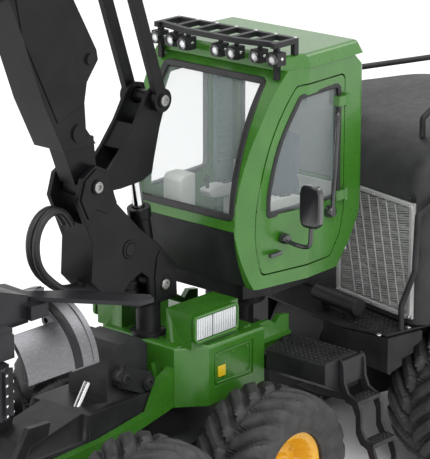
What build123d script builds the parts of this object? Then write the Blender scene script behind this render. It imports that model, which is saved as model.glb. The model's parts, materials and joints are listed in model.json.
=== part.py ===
from build123d import *
import math
import os

# Collector's model of an articulated forestry harvester, scale 1:32, in millimetres.
# +X is forward, +Y is the machine's left, +Z is up and the floor is at Z = 0.
# Sizes are worked out about the crane's slewing axis. The finished pieces are moved so that
# the origin lies on the floor under the middle of the model.

datum_x = -33.8            # middle of the model, seen from the slewing axis
datum_y = 10.8

# Running clearances
slip = 0.3                 # pins and shafts in their bores
side_gap = 0.3             # beside parts that turn on one pin

# Wheels and bogies
tyre_radius = 21.0
carcass_radius = 19.2
tyre_width = 22.0
bead_radius = 10.6
lug_count = 15
lug_length = 10.2
lug_width = 2.6
lug_lean = 38.0
wheel_y = 35.0
bogie_reach = 23.5         # from the bogie's pivot to each wheel
front_bogie_x = 15.0
bogie_box_width = 6.4
bogie_box_height = 13.0
pivot_rise = 1.5           # bogie pivot above the wheel axles
stub_radius = 2.4
axle_tube_radius = 5.2

# Front frame and cowl
frame_half = 10.0
frame_low = 18.0
frame_top = 34.2
frame_rear_x = -38.0
nose_x = 57.0
deck_z = 51.3
cowl_half = 19.0
cowl_low = 34.6
cowl_front_x = 4.2
cowl_rear_x = -25.0
lamp_length = 16.3
lamp_front_x = 1.7
lamp_low = 53.2
lamp_high = 59.6

# Articulation
joint_x = -46.0
rest_steer = -12.2
tongue_half = 5.0
pivot_pin_radius = 2.0
fork_radius = 6.2

# Step boxes and ladder
step_front_x = -25.0
step_rear_x = -39.0
step_top = 45.2
step_inner_y = 19.6
step_outer_y = 40.0
ladder_front_x = -30.6
ladder_rear_x = -40.2
stringer = 0.9

# Crane
post_radius = 3.3
post_top = 61.0
pintle_radius = 1.6
pillar_half = 5.5
plate = 1.3
foot_x, foot_z = 24.6, 97.6        # boom foot pin
barrel_x, barrel_z = -0.3, 66.0    # lift cylinder's lower pin
eye_x, eye_z = 5.6, 99.6           # lift cylinder's upper eye
link_x, link_z = 0.3, 115.5        # bar pin on the lever
boom_length = 105.0
boom_angle = 71.2
boom_half = 5.25
lever_half = 4.0
lever_gap = 3.0
bar_half = 6.2
bar_gap = 4.4
crane_pin = 1.3
rivet = 1.9

# Cab
cab_floor_z = 63.0
cab_front_half = 21.5
cab_rear_half = 24.5
cab_wall = 2.0
cab_turn_x = -35.0
cab_column = 5.0
door_gap = 0.35


def side_slab(outline, y_mid, width, mode=Mode.ADD, round_corners=0.0):
    """Extrude a closed (x, z) outline by width about the plane y = y_mid."""
    with BuildSketch(Plane.XZ.offset(-y_mid)) as cut:
        with BuildLine():
            Polyline(*outline, close=True)
        make_face()
        if round_corners:
            fillet(cut.vertices(), round_corners)
    extrude(cut.sketch, amount=width / 2, both=True, mode=mode)


def plan_slab(outline, z_low, height, mode=Mode.ADD, round_corners=0.0):
    """Extrude a closed (x, y) outline upwards from z_low."""
    with BuildSketch(Plane.XY.offset(z_low)) as cut:
        with BuildLine():
            Polyline(*outline, close=True)
        make_face()
        if round_corners:
            fillet(cut.vertices(), round_corners)
    extrude(cut.sketch, amount=height, mode=mode)


def curved_slab(curve, rest, y_mid, width, mode=Mode.ADD, round_corners=0.0):
    """Extrude a (x, z) outline, whose first part is one smooth curve, about y = y_mid."""
    with BuildSketch(Plane.XZ.offset(-y_mid)) as cut:
        with BuildLine():
            Spline(*curve)
            Polyline(curve[-1], *rest, curve[0])
        make_face()
        if round_corners:
            fillet(cut.vertices(), round_corners)
    extrude(cut.sketch, amount=width / 2, both=True, mode=mode)


def front_slab(outline, x_mid, width, mode=Mode.ADD, round_corners=0.0):
    """Extrude a closed (y, z) outline by width about the plane x = x_mid."""
    with BuildSketch(Plane.YZ.offset(x_mid)) as cut:
        with BuildLine():
            Polyline(*outline, close=True)
        make_face()
        if round_corners:
            fillet(cut.vertices(), round_corners)
    extrude(cut.sketch, amount=width / 2, both=True, mode=mode)


def rod(start, end, radius, mode=Mode.ADD):
    """A round bar from one point to another."""
    run = Vector(*end) - Vector(*start)
    with BuildSketch(Plane(origin=start, z_dir=run)) as cut:
        Circle(radius)
    extrude(cut.sketch, amount=run.length, mode=mode)


def cross_pin(x, z, radius, y_from, y_to, mode=Mode.ADD):
    """A round bar across the machine."""
    rod((x, y_from, z), (x, y_to, z), radius, mode)


def bent_tube(points, radius, bend):
    """A tube along straight runs with rounded bends."""
    with BuildLine() as path:
        FilletPolyline(*points, radius=bend)
    start = path.line @ 0
    with BuildSketch(Plane(origin=start, z_dir=path.line % 0)) as cut:
        Circle(radius)
    sweep(cut.sketch, path=path.line)


def box_between(low, high, mode=Mode.ADD):
    """A plain block between two opposite corners."""
    x0, y0, z0 = low
    x1, y1, z1 = high
    plan_slab(((x0, y0), (x1, y0), (x1, y1), (x0, y1)), z0, z1 - z0, mode)


pieces = {}                # name: (solid, group)


def keep(name, builder, group="front"):
    """Note a finished piece under its name and the group that it is placed with."""
    pieces[name] = (builder.part, group)


# Front frame: box chassis with nose, axle tubes for the bogies and the articulation fork
axle_z = tyre_radius
pivot_z = axle_z + pivot_rise
bogie_inner = wheel_y - tyre_width / 2 - 1.4 - bogie_box_width
with BuildPart() as front_frame:
    side_slab(((frame_rear_x, 22), (-30, frame_low), (34, frame_low), (50, 24), (nose_x, 29),
               (nose_x - 6, 36), (32, 40), (cowl_front_x + 3, 40), (cowl_front_x + 1.6, frame_top),
               (frame_rear_x, frame_top)), 0, 2 * frame_half)
    with Locations((front_bogie_x, 0, pivot_z)):
        Cylinder(axle_tube_radius, 2 * bogie_inner - 2 * side_gap, rotation=(90, 0, 0))
        Cylinder(stub_radius + 1.2, 2 * (bogie_inner + bogie_box_width - 1), rotation=(90, 0, 0))
    # Fork ears for the articulation pin
    for low in (20.0, 36.2):
        with BuildSketch(Plane.XY.offset(low)) as ear:
            Circle(fork_radius)
            with Locations((0, 0)):
                Rectangle(16, 2 * fork_radius, align=(Align.MIN, Align.CENTER))
        extrude(ear.sketch.moved(Location((joint_x, 0, 0))), amount=3.0)
    rod((joint_x, 0, 20), (joint_x, 0, 39.2), pivot_pin_radius)
    # Rear platform that carries the cab's column
    box_between((frame_rear_x, -12, frame_top), (cowl_rear_x, 12, 42.0))
    rod((cab_turn_x, 0, 42.0), (cab_turn_x, 0, 56.0), cab_column)
    # Knuckle block in front of the cowl, its arm with two round bosses, and a slanted cylinder
    side_slab(((8.0, 38.0), (8.0, 52.0), (11.0, 54.4), (18.4, 54.4), (22.6, 50.0), (23.4, 36.0)),
              0, 14.0)
    side_slab(((8.6, 44.8), (18.2, 49.0), (21.4, 44.0), (12.6, 40.0), (8.6, 36.0)), 8.0, 2.4)
    for boss_x, boss_z in ((19.4, 46.0), (10.6, 42.6)):
        cross_pin(boss_x, boss_z, 2.0, 6.4, 10.2)
    rod((26.0, 3.0, 45.4), (30.5, 3.0, 39.0), 0.9)
    rod((30.5, 3.0, 39.0), (37.5, 3.0, 27.5), 1.7)
    # Flat guard plates of the nose, and the shoulders cut beside them
    for side in (1, -1):
        side_slab(((44.0, 40.6), (51.5, 41.0), (59.0, 30.5), (47.5, 27.0)), side * 6.5, 1.6)
        box_between((33.0, side * 7.4, 32.6), (nose_x + 1, side * 11.0, 46.0), Mode.SUBTRACT)
keep("front_frame", front_frame)

# Green cowl: sheet-like shell over the frame with the deck, recessed side panels and nose
with BuildPart() as front_cowl:
    plan_slab(((cowl_rear_x, -cowl_half), (cowl_front_x - 7, -cowl_half),
               (cowl_front_x, -cowl_half + 6), (cowl_front_x, cowl_half - 6),
               (cowl_front_x - 7, cowl_half), (cowl_rear_x, cowl_half)),
              cowl_low, deck_z - cowl_low)
    deck_edges = front_cowl.edges().filter_by(GeomType.LINE).group_by(Axis.Z)[-1]
    fillet(deck_edges, 1.2)
    for side in (1, -1):
        box_between((cowl_rear_x + 4.5, side * cowl_half - 0.4, cowl_low + 4.5),
                    (cowl_front_x - 9, side * cowl_half + 0.4, deck_z - 2.6), Mode.SUBTRACT)
        # Raised housing over the headlamp
        box_between((lamp_front_x - lamp_length - 2, side * 8.0, deck_z - 0.5),
                    (lamp_front_x, side * (cowl_half - 0.9 - 1.2), lamp_high + 0.8))
        # Rear upstand with its folded ledge
        side_slab(((cowl_rear_x, 42.6), (cowl_rear_x, deck_z), (-29, deck_z), (-31.5, 49.6),
                   (-33.5, 51.6), (-37.2, 51.0), (-37.2, 45.6)), side * 16.5, 1.6)
        box_between((-36.6, side * 16.4, 45.8), (cowl_rear_x, side * 18.6, 46.8))
        # Sloping nose cheeks beside the frame
        side_slab(((cowl_front_x, cowl_low), (cowl_front_x, 45.5), (8.6, 43.4), (13.0, 35.4),
                   (30, 33.0), (50, 32.2), (46.0, 25.0), (34, 21.0), (24, cowl_low - 4)),
                  side * 11.6, 2.4)
    box_between((cowl_rear_x - 1, -frame_half - 2.2, cowl_low - 1),
                (cowl_rear_x + 0.02, frame_half + 2.2, 42.2), Mode.SUBTRACT)
    # Pan for the frame's platform, and the folded ridge of the front face
    front_slab(((6.0, 45.5), (9.5, cowl_low), (2.0, cowl_low), (2.0, 44.0)), cowl_front_x + 0.6, 1.4)
keep("front_cowl", front_cowl)

# Headlamps: ribbed clear lens in a shallow tray, facing each side
with BuildPart() as headlamps:
    for side in (1, -1):
        lens_y = side * (cowl_half - 0.9)
        lens_in = side * (cowl_half - 0.9 - 1.2 + 0.02)
        box_between((lamp_front_x - lamp_length, lens_in, lamp_low),
                    (lamp_front_x - 0.4, lens_y, lamp_high))
        for rib in range(9):
            rib_x = lamp_front_x - lamp_length + 1.2 + rib * (lamp_length - 2.8) / 8
            box_between((rib_x - 0.3, lens_y - side * 0.2, lamp_low + 0.6),
                        (rib_x + 0.3, lens_y + side * 0.25, lamp_high - 0.6))
keep("headlamps", headlamps)

# Step boxes behind the front wheels, left and right
step_outline = ((step_rear_x, 36.0), (step_rear_x, step_top), (step_front_x, step_top),
                (step_front_x, 39.2), (-29.0, 36.6), (-31.0, 36.0))
with BuildPart() as step_boxes:
    for side in (1, -1):
        side_slab(step_outline, side * (step_inner_y + step_outer_y) / 2,
                  step_outer_y - step_inner_y)
        # Bracket to the frame's platform
        box_between((step_rear_x + 1.0, side * 12.1, 38.0), (-27.0, side * step_inner_y, 42.0))
    fillet(step_boxes.edges().filter_by(Axis.Y).group_by(Axis.Z)[-1], 1.0)
keep("step_boxes", step_boxes)

# Access ladder: two S-shaped stringers and two treads below the left step box
# Columns: y, z of the stringer's outer edge from top to foot
stringer_edge = ((40.3, 45.0), (41.6, 43.6), (42.0, 38.6), (43.2, 36.0), (46.4, 34.6),
                 (47.6, 32.0), (47.8, 27.2), (49.2, 24.8), (51.6, 23.6), (53.0, 20.0),
                 (53.2, 14.0))
with BuildPart() as access_ladder:
    inner_edge = tuple((y - 1.6, z - 1.6) for y, z in reversed(stringer_edge[2:]))
    stringer_outline = stringer_edge + ((51.4, 14.0),) + inner_edge[1:] + ((40.3, 37.4),)
    for rail_x in (ladder_front_x - stringer / 2, ladder_rear_x + stringer / 2):
        front_slab(stringer_outline, rail_x, stringer)
    rail_mid = (ladder_front_x + ladder_rear_x) / 2
    for tread_y, tread_z in ((44.6, 34.0), (50.0, 23.4)):
        with Locations((rail_mid, tread_y, tread_z)):
            Box(ladder_front_x - ladder_rear_x, 4.2, 1.2)
    box_between((ladder_rear_x, 40.3, 37.6), (ladder_front_x, 41.2, 44.6))
keep("access_ladder", access_ladder)

# Crane post: stepped column on the deck with a pintle for the pillar
with BuildPart() as crane_post:
    rod((0, 0, deck_z), (0, 0, post_top), post_radius)
    rod((0, 0, post_top), (0, 0, post_top + 1.4), pintle_radius)
    rod((0, 0, deck_z), (0, 0, deck_z + 1.0), post_radius + 1.2)
keep("crane_post", crane_post)

# Bogies: a pressed box that rocks on the axle tube, with a stub axle for each wheel
bogies = {"front_left": (front_bogie_x, 1, "front"), "front_right": (front_bogie_x, -1, "front"),
          "rear_left": (joint_x - 68.0, 1, "rear"), "rear_right": (joint_x - 68.0, -1, "rear")}
for corner, (bogie_x, side, group) in bogies.items():
    box_mid = side * (bogie_inner + bogie_box_width / 2)
    hub_face = side * (wheel_y + slip)
    with BuildPart() as bogie:
        with BuildSketch(Plane.XZ.offset(-box_mid)) as body:
            with BuildLine():
                Polyline((-bogie_reach, bogie_box_height / 2), (-8, 7.5), (8, 7.5),
                         (bogie_reach, bogie_box_height / 2), (bogie_reach, -bogie_box_height / 2),
                         (-bogie_reach, -bogie_box_height / 2), close=True)
            make_face()
            with Locations((-bogie_reach, 0), (bogie_reach, 0)):
                Circle(bogie_box_height / 2)
        extrude(body.sketch.moved(Location((bogie_x, 0, axle_z))), amount=bogie_box_width / 2,
                both=True)
        cross_pin(bogie_x, pivot_z, stub_radius + 1.2 + slip, side * (bogie_inner - 1),
                  side * (bogie_inner + bogie_box_width - 0.7), Mode.SUBTRACT)
        for reach in (-bogie_reach, bogie_reach):
            cross_pin(bogie_x + reach, axle_z, stub_radius, side * (bogie_inner + 1), hub_face)
            cross_pin(bogie_x + reach, axle_z, stub_radius + 1.6, side * (bogie_inner + 1),
                      side * (bogie_inner + bogie_box_width + 0.8))
    keep("bogie_" + corner, bogie, group)

# Tyre: rounded carcass with two staggered rows of leaning lugs, on the origin, axis along Y
half_width = tyre_width / 2
with BuildPart() as tyre_form:
    with BuildSketch(Plane.XY) as section:
        with BuildLine():
            Polyline((bead_radius, -half_width + 2.6), (bead_radius + 1.8, -half_width + 0.8),
                     (14.6, -half_width), (17.4, -half_width + 1.0), (carcass_radius, -half_width + 4),
                     (carcass_radius, half_width - 4), (17.4, half_width - 1.0), (14.6, half_width),
                     (bead_radius + 1.8, half_width - 0.8), (bead_radius, half_width - 2.6),
                     close=True)
        make_face()
    revolve(axis=Axis.Y)
    lug_top = 20.6
    lug_root = carcass_radius - 0.8
    for side in (1, -1):
        for number in range(lug_count):
            turn = (number + (0.5 if side > 0 else 0.0)) * 360 / lug_count
            with Locations(Location((0, 0, 0), (0, turn, 0))
                           * Location((0, side * (half_width / 2 - 0.3), lug_root),
                                      (0, 0, -side * lug_lean))):
                Box(lug_width, lug_length, lug_top - lug_root,
                    align=(Align.CENTER, Align.CENTER, Align.MIN))

# Rim: dished disc with hub and bore for the stub axle, outer face towards +Y
with BuildPart() as rim_form:
    with BuildSketch(Plane.XY) as section:
        with BuildLine():
            Polyline((stub_radius + slip, -4.6), (stub_radius + slip, 0.6), (0, 0.6), (0, 4.4),
                     (3.2, 4.4), (3.8, 3.4), (6.6, 3.0), (8.6, 7.6), (bead_radius - 0.1, 8.2),
                     (bead_radius - 0.1, -8.2), (9.2, -7.8), (8.2, -1.0), (4.6, -1.4), (4.2, -4.6),
                     close=True)
        make_face()
    revolve(axis=Axis.Y)

wheels = {}
for corner, (bogie_x, side, group) in bogies.items():
    for place, reach in (("fore", bogie_reach), ("aft", -bogie_reach)):
        wheels[corner + "_" + place] = (bogie_x + reach, side, group)
for wheel, (wheel_x, side, group) in wheels.items():
    seat = Location((wheel_x, side * wheel_y, axle_z), (0, 0, 0 if side > 0 else 180))
    pieces["tyre_" + wheel] = (tyre_form.part.moved(seat), group)
    pieces["rim_" + wheel] = (rim_form.part.moved(seat), group)

# Rear frame, built straight behind the articulation and turned to its rest angle at the end
tongue_low = 23.4
tongue_high = 35.8
rear_start_x = joint_x - 11.0
rear_end_x = joint_x - 113.0
rear_deck_z = 45.0
deck_plate = 0.5
hood_front_x = joint_x - 26.0
hood_rear_x = rear_end_x + 3.0
hood_half = 36.0
hood_top = 97.0
hood_low = rear_deck_z + 0.4
side_box_inner = 12.4
side_box_outer = 36.0
side_box_low = 33.6
grille_low = 47.0
grille_high = 80.0
grille_inner_y = 1.5
grille_outer_y = 33.5
slat_count = 12
rail_radius = 0.85
rail_clear = 1.4             # handrails outside the hood's sides
tow_bore = 2.0
rear_bogie_x = joint_x - 68.0

with BuildPart() as rear_frame:
    side_slab(((rear_start_x, 22), (rear_start_x, 36), (rear_start_x - 4, rear_deck_z - deck_plate),
               (rear_end_x, rear_deck_z - deck_plate), (rear_end_x, 24), (rear_end_x + 10, 17),
               (rear_start_x - 12, 17)), 0, 22.0)
    box_between((joint_x - 12, -tongue_half, tongue_low), (joint_x, tongue_half, tongue_high))
    rod((joint_x, 0, tongue_low), (joint_x, 0, tongue_high), tongue_half)
    rod((joint_x, 0, tongue_low - 1), (joint_x, 0, tongue_high + 1), pivot_pin_radius + slip,
        Mode.SUBTRACT)
    with Locations((rear_bogie_x, 0, pivot_z)):
        Cylinder(axle_tube_radius, 2 * bogie_inner - 2 * side_gap, rotation=(90, 0, 0))
        Cylinder(stub_radius + 1.2, 2 * (bogie_inner + bogie_box_width - 1), rotation=(90, 0, 0))
    # Tow eye
    with BuildSketch(Plane.XY.offset(28.0)) as tow_plate:
        with Locations((rear_end_x - 5.0, 0)):
            Circle(4.2)
        with Locations((rear_end_x - 2.0, 0)):
            Rectangle(6.0, 8.4)
        with Locations((rear_end_x - 5.0, 0)):
            Circle(tow_bore, mode=Mode.SUBTRACT)
    extrude(tow_plate.sketch, amount=3.0)
keep("rear_frame", rear_frame, "rear")

# Rear deck: thin plate over the wheels, in front of and below the hood
with BuildPart() as rear_deck:
    plan_slab(((rear_start_x, -20), (rear_start_x, 20), (rear_start_x - 5, 35),
               (rear_end_x, 35), (rear_end_x, -35), (rear_start_x - 5, -35)),
              rear_deck_z - deck_plate, deck_plate)
    # Air tank across the deck on two cradles
    rod((joint_x - 17, 4.0, rear_deck_z + 4.2), (joint_x - 17, 22.0, rear_deck_z + 4.2), 2.4)
    for cradle_y in (7.0, 19.0):
        box_between((joint_x - 18.4, cradle_y - 0.6, rear_deck_z - 0.1),
                    (joint_x - 15.6, cradle_y + 0.6, rear_deck_z + 3.0))
keep("rear_deck", rear_deck, "rear")

# Engine hood: rounded shell with an exhaust stub
hood_curve = ((hood_front_x, 83.0), (hood_front_x - 1.6, 89.0), (hood_front_x - 7, 94.6),
              (hood_front_x - 18, hood_top), (hood_front_x - 44, hood_top - 0.6),
              (hood_rear_x + 18, hood_top - 3.0), (hood_rear_x + 5, 87.0), (hood_rear_x, 76.0))
hood_shoulder = 5.0
with BuildPart() as hood:
    curved_slab(hood_curve, ((hood_rear_x, hood_low), (hood_front_x, hood_low)), 0, 2 * hood_half)
    top_edges = [edge for edge in hood.edges() if edge.geom_type == GeomType.BSPLINE]
    fillet(top_edges, hood_shoulder)
    # Recess for the radiator grille in the front face
    box_between((hood_front_x - 1.6, grille_inner_y - 0.2, grille_low - 0.2),
                (hood_front_x + 1, grille_outer_y + 0.2, grille_high + 0.2), Mode.SUBTRACT)
    # Rear ventilation recesses and side door panels
    for side in (1, -1):
        box_between((hood_front_x - 38, side * (hood_half - 0.6), hood_low + 5),
                    (hood_front_x - 8, side * (hood_half + 1), 84), Mode.SUBTRACT)
        for slot in range(7):
            slot_z = hood_low + 8 + slot * 4.6
            box_between((hood_rear_x + 8, side * (hood_half - 0.8), slot_z),
                        (hood_rear_x + 26, side * (hood_half + 1), slot_z + 1.8), Mode.SUBTRACT)
    rod((hood_front_x - 14, -17, hood_top - 4), (hood_front_x - 14, -17, hood_top + 12), 2.4)
    rod((hood_front_x - 14, -17, hood_top + 6), (hood_front_x - 14, -17, hood_top + 14), 1.8,
        Mode.SUBTRACT)
keep("hood", hood, "rear")

# Radiator grille: frame with slats
with BuildPart() as radiator_grille:
    front_slab(((grille_inner_y, grille_low), (grille_outer_y, grille_low),
                (grille_outer_y, grille_high), (grille_inner_y, grille_high)),
               hood_front_x - 0.9, 1.4)
    front_slab(((grille_inner_y + 1.2, grille_low + 1.2), (grille_outer_y - 1.2, grille_low + 1.2),
                (grille_outer_y - 1.2, grille_high - 1.2),
                (grille_inner_y + 1.2, grille_high - 1.2)),
               hood_front_x - 0.2, 1.2, Mode.SUBTRACT)
    slat_pitch = (grille_high - grille_low - 2.4) / slat_count
    for slat in range(slat_count):
        slat_z = grille_low + 1.2 + (slat + 0.5) * slat_pitch
        box_between((hood_front_x - 1.0, grille_inner_y + 1.0, slat_z - 0.6),
                    (hood_front_x - 0.35, grille_outer_y - 1.0, slat_z + 0.6))
keep("radiator_grille", radiator_grille, "rear")

# Side boxes under the deck's edge, with stepped lower outline and grip dots on top
side_box_front = joint_x - 12.0
with BuildPart() as side_boxes:
    for side in (1, -1):
        side_slab(((side_box_front, side_box_low + 2.4), (side_box_front, rear_deck_z - deck_plate - 0.3),
                   (hood_front_x - 2, rear_deck_z - deck_plate - 0.3), (hood_front_x - 2, 41.5),
                   (side_box_front - 13, 40.0), (side_box_front - 13, 38.4),
                   (side_box_front - 9, 37.4), (side_box_front - 9, 35.6),
                   (side_box_front - 5.0, side_box_low + 0.6), (side_box_front - 5.0, side_box_low)),
                  side * (side_box_inner + side_box_outer) / 2, side_box_outer - side_box_inner)
        # Slanted outer front corner leaves room for the articulation
        plan_slab(((side_box_front + 1, side * 20), (side_box_front + 1, side * 40),
                   (side_box_front - 5, side * 40)), 30, 20, Mode.SUBTRACT)
        box_between((side_box_front - 8, side * 11.05, 37.6),
                    (side_box_front - 6, side * (side_box_inner + 0.1), 42.6))
keep("side_boxes", side_boxes, "rear")

# Bent handrails on the deck and a low rail along the hood's top
with BuildPart() as handrails:
    for side in (1, -1):
        foot_y = side * (hood_half - 2.0)
        waist_y = side * (hood_half + 0.6)
        grip_y = side * (hood_half + rail_clear)
        top_y = side * (hood_half - 10.0)
        bent_tube(((hood_front_x + 4, foot_y, rear_deck_z), (hood_front_x + 4, foot_y, 52),
                   (hood_front_x + 1.8, waist_y, 62), (hood_front_x + 1.8, grip_y, 78),
                   (hood_front_x - 6, grip_y, 82),
                   (hood_front_x - 6, side * (hood_half + 0.2), 82)), rail_radius, 0.8)
        bent_tube(((hood_front_x - 9, top_y, hood_top - 1.3),
                   (hood_front_x - 9, top_y, hood_top + 4.0),
                   (hood_front_x - 12, top_y, hood_top + 6.0),
                   (hood_rear_x + 16, top_y, hood_top + 4.5),
                   (hood_rear_x + 16, top_y, hood_top - 3.0)), rail_radius, 1.2)
keep("handrails", handrails, "rear")

# Cab: hollow shell. The side outline leans back at the front and bulges at the rear
cab_length_front = -13.5
cab_nose_x = -18.5
cab_rear_x = -60.0
roof_front_x = -29.0
cab_front_curve = ((cab_nose_x, cab_floor_z), (-14.9, 72.0), (cab_length_front, 81.0),
                   (-14.2, 89.0), (-16.4, 98.0), (-21.2, 109.6), (roof_front_x, 120.6))
cab_rear_run = ((-56.0, 120.6), (cab_rear_x, 117.0), (cab_rear_x, 81.0), (-58.6, 75.6),
                (-54.6, 69.2), (-49.0, cab_floor_z))
cab_plan = ((cab_length_front + 1, -cab_front_half + 3.5), (cab_length_front + 1, cab_front_half - 3.5),
            (-20, cab_front_half), (-36, cab_rear_half), (cab_rear_x - 1, cab_rear_half - 1),
            (cab_rear_x - 1, -cab_rear_half + 1), (-36, -cab_rear_half), (-20, -cab_front_half))


cab_plan_corner = 2.4


def inset_plan(inset):
    """The cab's plan outline moved inwards by a wall."""
    return tuple((x - inset if x > -30 else (x + inset if x < -50 else x),
                  y - math.copysign(inset, y)) for x, y in cab_plan)


# Windows and door cuts, as (x, z): the curved front edge, then the other corners
door_curve = ((-20.6, 66.5), (-18.8, 76.0), (-19.4, 88.0), (-23.6, 103.0), (-32.0, 116.4))
door_rest = ((-52.0, 116.4), (-52.0, 78.0), (-50.4, 72.0), (-46.0, 66.5))
window_curve = ((-22.8, 82.6), (-23.2, 90.0), (-26.8, 102.0), (-33.4, 113.2))
window_rest = ((-49.4, 113.6), (-49.4, 82.6))
window_corner = 1.8
leaf_middle = (-36.0, 95.0)


def drawn_in(points, inset):
    """Points of a leaf's outline, each moved towards its middle."""
    moved = []
    for x, z in points:
        reach = math.hypot(x - leaf_middle[0], z - leaf_middle[1])
        share = 1.0 - inset * math.sqrt(2) / reach
        moved.append((leaf_middle[0] + (x - leaf_middle[0]) * share,
                      leaf_middle[1] + (z - leaf_middle[1]) * share))
    return tuple(moved)


def leaf_face(curve, rest, plane_y, inset):
    """A door or window outline on a side plane, drawn in by an inset."""
    front = drawn_in(curve, inset)
    others = drawn_in(rest, inset)
    with BuildSketch(Plane.XZ.offset(-plane_y)) as leaf:
        with BuildLine():
            Spline(*front)
            Polyline(front[-1], *others, front[0])
        make_face()
        fillet(leaf.vertices(), window_corner)
    return leaf.sketch


def inner_curve(points):
    """The cab's curve moved back by a wall, and off the floor and the roof."""
    return tuple((x - cab_wall, min(max(z, cab_floor_z + cab_wall), 120.6 - cab_wall))
                 for x, z in points)


def inner_run(points):
    """The cab's rear outline moved inwards by a wall."""
    return tuple((x + cab_wall, min(max(z, cab_floor_z + cab_wall), 120.6 - cab_wall))
                 for x, z in points)


with BuildPart() as cab_body:
    curved_slab(cab_front_curve, cab_rear_run, 0, 60)
    with BuildSketch(Plane.XY.offset(50)) as plan:
        with BuildLine():
            Polyline(*cab_plan, close=True)
        make_face()
        fillet(plan.vertices(), cab_plan_corner)
    extrude(plan.sketch, amount=90, mode=Mode.INTERSECT)
with BuildPart() as cab_core:
    curved_slab(inner_curve(cab_front_curve), inner_run(cab_rear_run), 0, 60)
    with BuildSketch(Plane.XY.offset(50)) as plan:
        with BuildLine():
            Polyline(*inset_plan(cab_wall), close=True)
        make_face()
        fillet(plan.vertices(), cab_plan_corner / 2)
    extrude(plan.sketch, amount=90, mode=Mode.INTERSECT)

with BuildPart() as cab_shell:
    add(cab_body.part)
    add(cab_core.part, mode=Mode.SUBTRACT)
    # Windscreen opening from pillar to pillar, and the dark nose's place below it
    front_slab(((-cab_front_half + 4.2, 83.0), (cab_front_half - 4.2, 83.0),
                (cab_front_half - 4.2, 117.4), (-cab_front_half + 4.2, 117.4)), -18, 24,
               Mode.SUBTRACT, window_corner)
    front_slab(((-cab_front_half + 3.4, cab_floor_z - 1), (cab_front_half - 3.4, cab_floor_z - 1),
                (cab_front_half - 3.4, 79.4), (-cab_front_half + 3.4, 79.4)), -17, 10,
               Mode.SUBTRACT)
    # Rear window
    front_slab(((-19.0, 84.0), (19.0, 84.0), (19.0, 115.0), (-19.0, 115.0)), cab_rear_x, 10,
               Mode.SUBTRACT, window_corner)
    # Doorway on the left, window on the right
    extrude(leaf_face(door_curve, door_rest, cab_rear_half, 0), amount=8, both=True,
            mode=Mode.SUBTRACT)
    extrude(leaf_face(window_curve, window_rest, -cab_rear_half, 0), amount=8, both=True,
            mode=Mode.SUBTRACT)
    # Domed roof cap
    with BuildSketch(Plane.XY.offset(120.6)) as cap:
        with BuildLine():
            Polyline((-27.5, -21.0), (-27.5, 21.0), (-36, 25.0), (-61.0, 24.0), (-61.0, -24.0),
                     (-36, -25.0), close=True)
        make_face()
        fillet(cap.vertices(), 3.0)
    extrude(cap.sketch, amount=3.4, taper=28)
    fillet(cab_shell.edges().group_by(Axis.Z)[-1], 1.6)
keep("cab_shell", cab_shell, "front")

# Dark nose panel and the rail across the windscreen's foot
with BuildPart() as cab_nose:
    side_slab(((cab_nose_x - 0.2, cab_floor_z + 0.2), (cab_length_front - 0.3, 79.2),
               (cab_length_front - 2.1, 79.2), (cab_nose_x - 2.0, cab_floor_z + 2.3),
               (cab_nose_x - 2.0, cab_floor_z + 0.2)), 0, 2 * cab_front_half - 7.2)
keep("cab_nose", cab_nose, "front")

# Ribbed floor
with BuildPart() as cab_floor:
    box_between((-46.6, -19.2, cab_floor_z + cab_wall), (-22.8, 19.2, cab_floor_z + cab_wall + 0.8))
    for rib in range(10):
        rib_y = -17.1 + rib * 3.8
        box_between((-46.4, rib_y - 0.5, cab_floor_z + cab_wall + 0.7),
                    (-23.0, rib_y + 0.5, cab_floor_z + cab_wall + 1.3))
keep("cab_floor", cab_floor, "front")

# Glass: windscreen in three flats, right window and rear window
glass = 0.9
screen_depth = 0.9


def side_glass(side):
    """The pane of one side window, following the wall's plan."""
    with BuildPart() as pane_form:
        with BuildSketch(Plane.XY.offset(80)) as pane:
            with BuildLine():
                Polyline((-20, side * (cab_front_half - 0.7)), (-36, side * (cab_rear_half - 0.7)),
                         (-51, side * (cab_rear_half - 1.3)),
                         (-51, side * (cab_rear_half - 1.3 - glass)),
                         (-36, side * (cab_rear_half - 0.7 - glass)),
                         (-20, side * (cab_front_half - 0.7 - glass)), close=True)
            make_face()
        extrude(pane.sketch, amount=40)
        extrude(leaf_face(window_curve, window_rest, side * cab_rear_half, 0.05), amount=10,
                both=True, mode=Mode.INTERSECT)
    return pane_form.part


with BuildPart() as cab_windows:
    screen_outer = tuple((x - screen_depth, z) for x, z in cab_front_curve[2:])
    screen_inner = tuple((x - screen_depth - glass, z) for x, z in reversed(cab_front_curve[2:]))
    with BuildSketch(Plane.XZ) as screen:
        with BuildLine():
            Spline(*screen_outer)
            Line(screen_outer[-1], screen_inner[0])
            Spline(*screen_inner)
            Line(screen_inner[-1], screen_outer[0])
        make_face()
    extrude(screen.sketch, amount=cab_front_half - 4.3, both=True)
    front_slab(((-cab_front_half + 4.3, 83.1), (cab_front_half - 4.3, 83.1),
                (cab_front_half - 4.3, 117.3), (-cab_front_half + 4.3, 117.3)), -18, 40,
               Mode.INTERSECT, window_corner)
    add(side_glass(-1))
    front_slab(((-18.9, 84.1), (18.9, 84.1), (18.9, 114.9), (-18.9, 114.9)),
               cab_rear_x + 0.4 + glass / 2, glass, round_corners=window_corner)
keep("cab_windows", cab_windows, "front")

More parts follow.
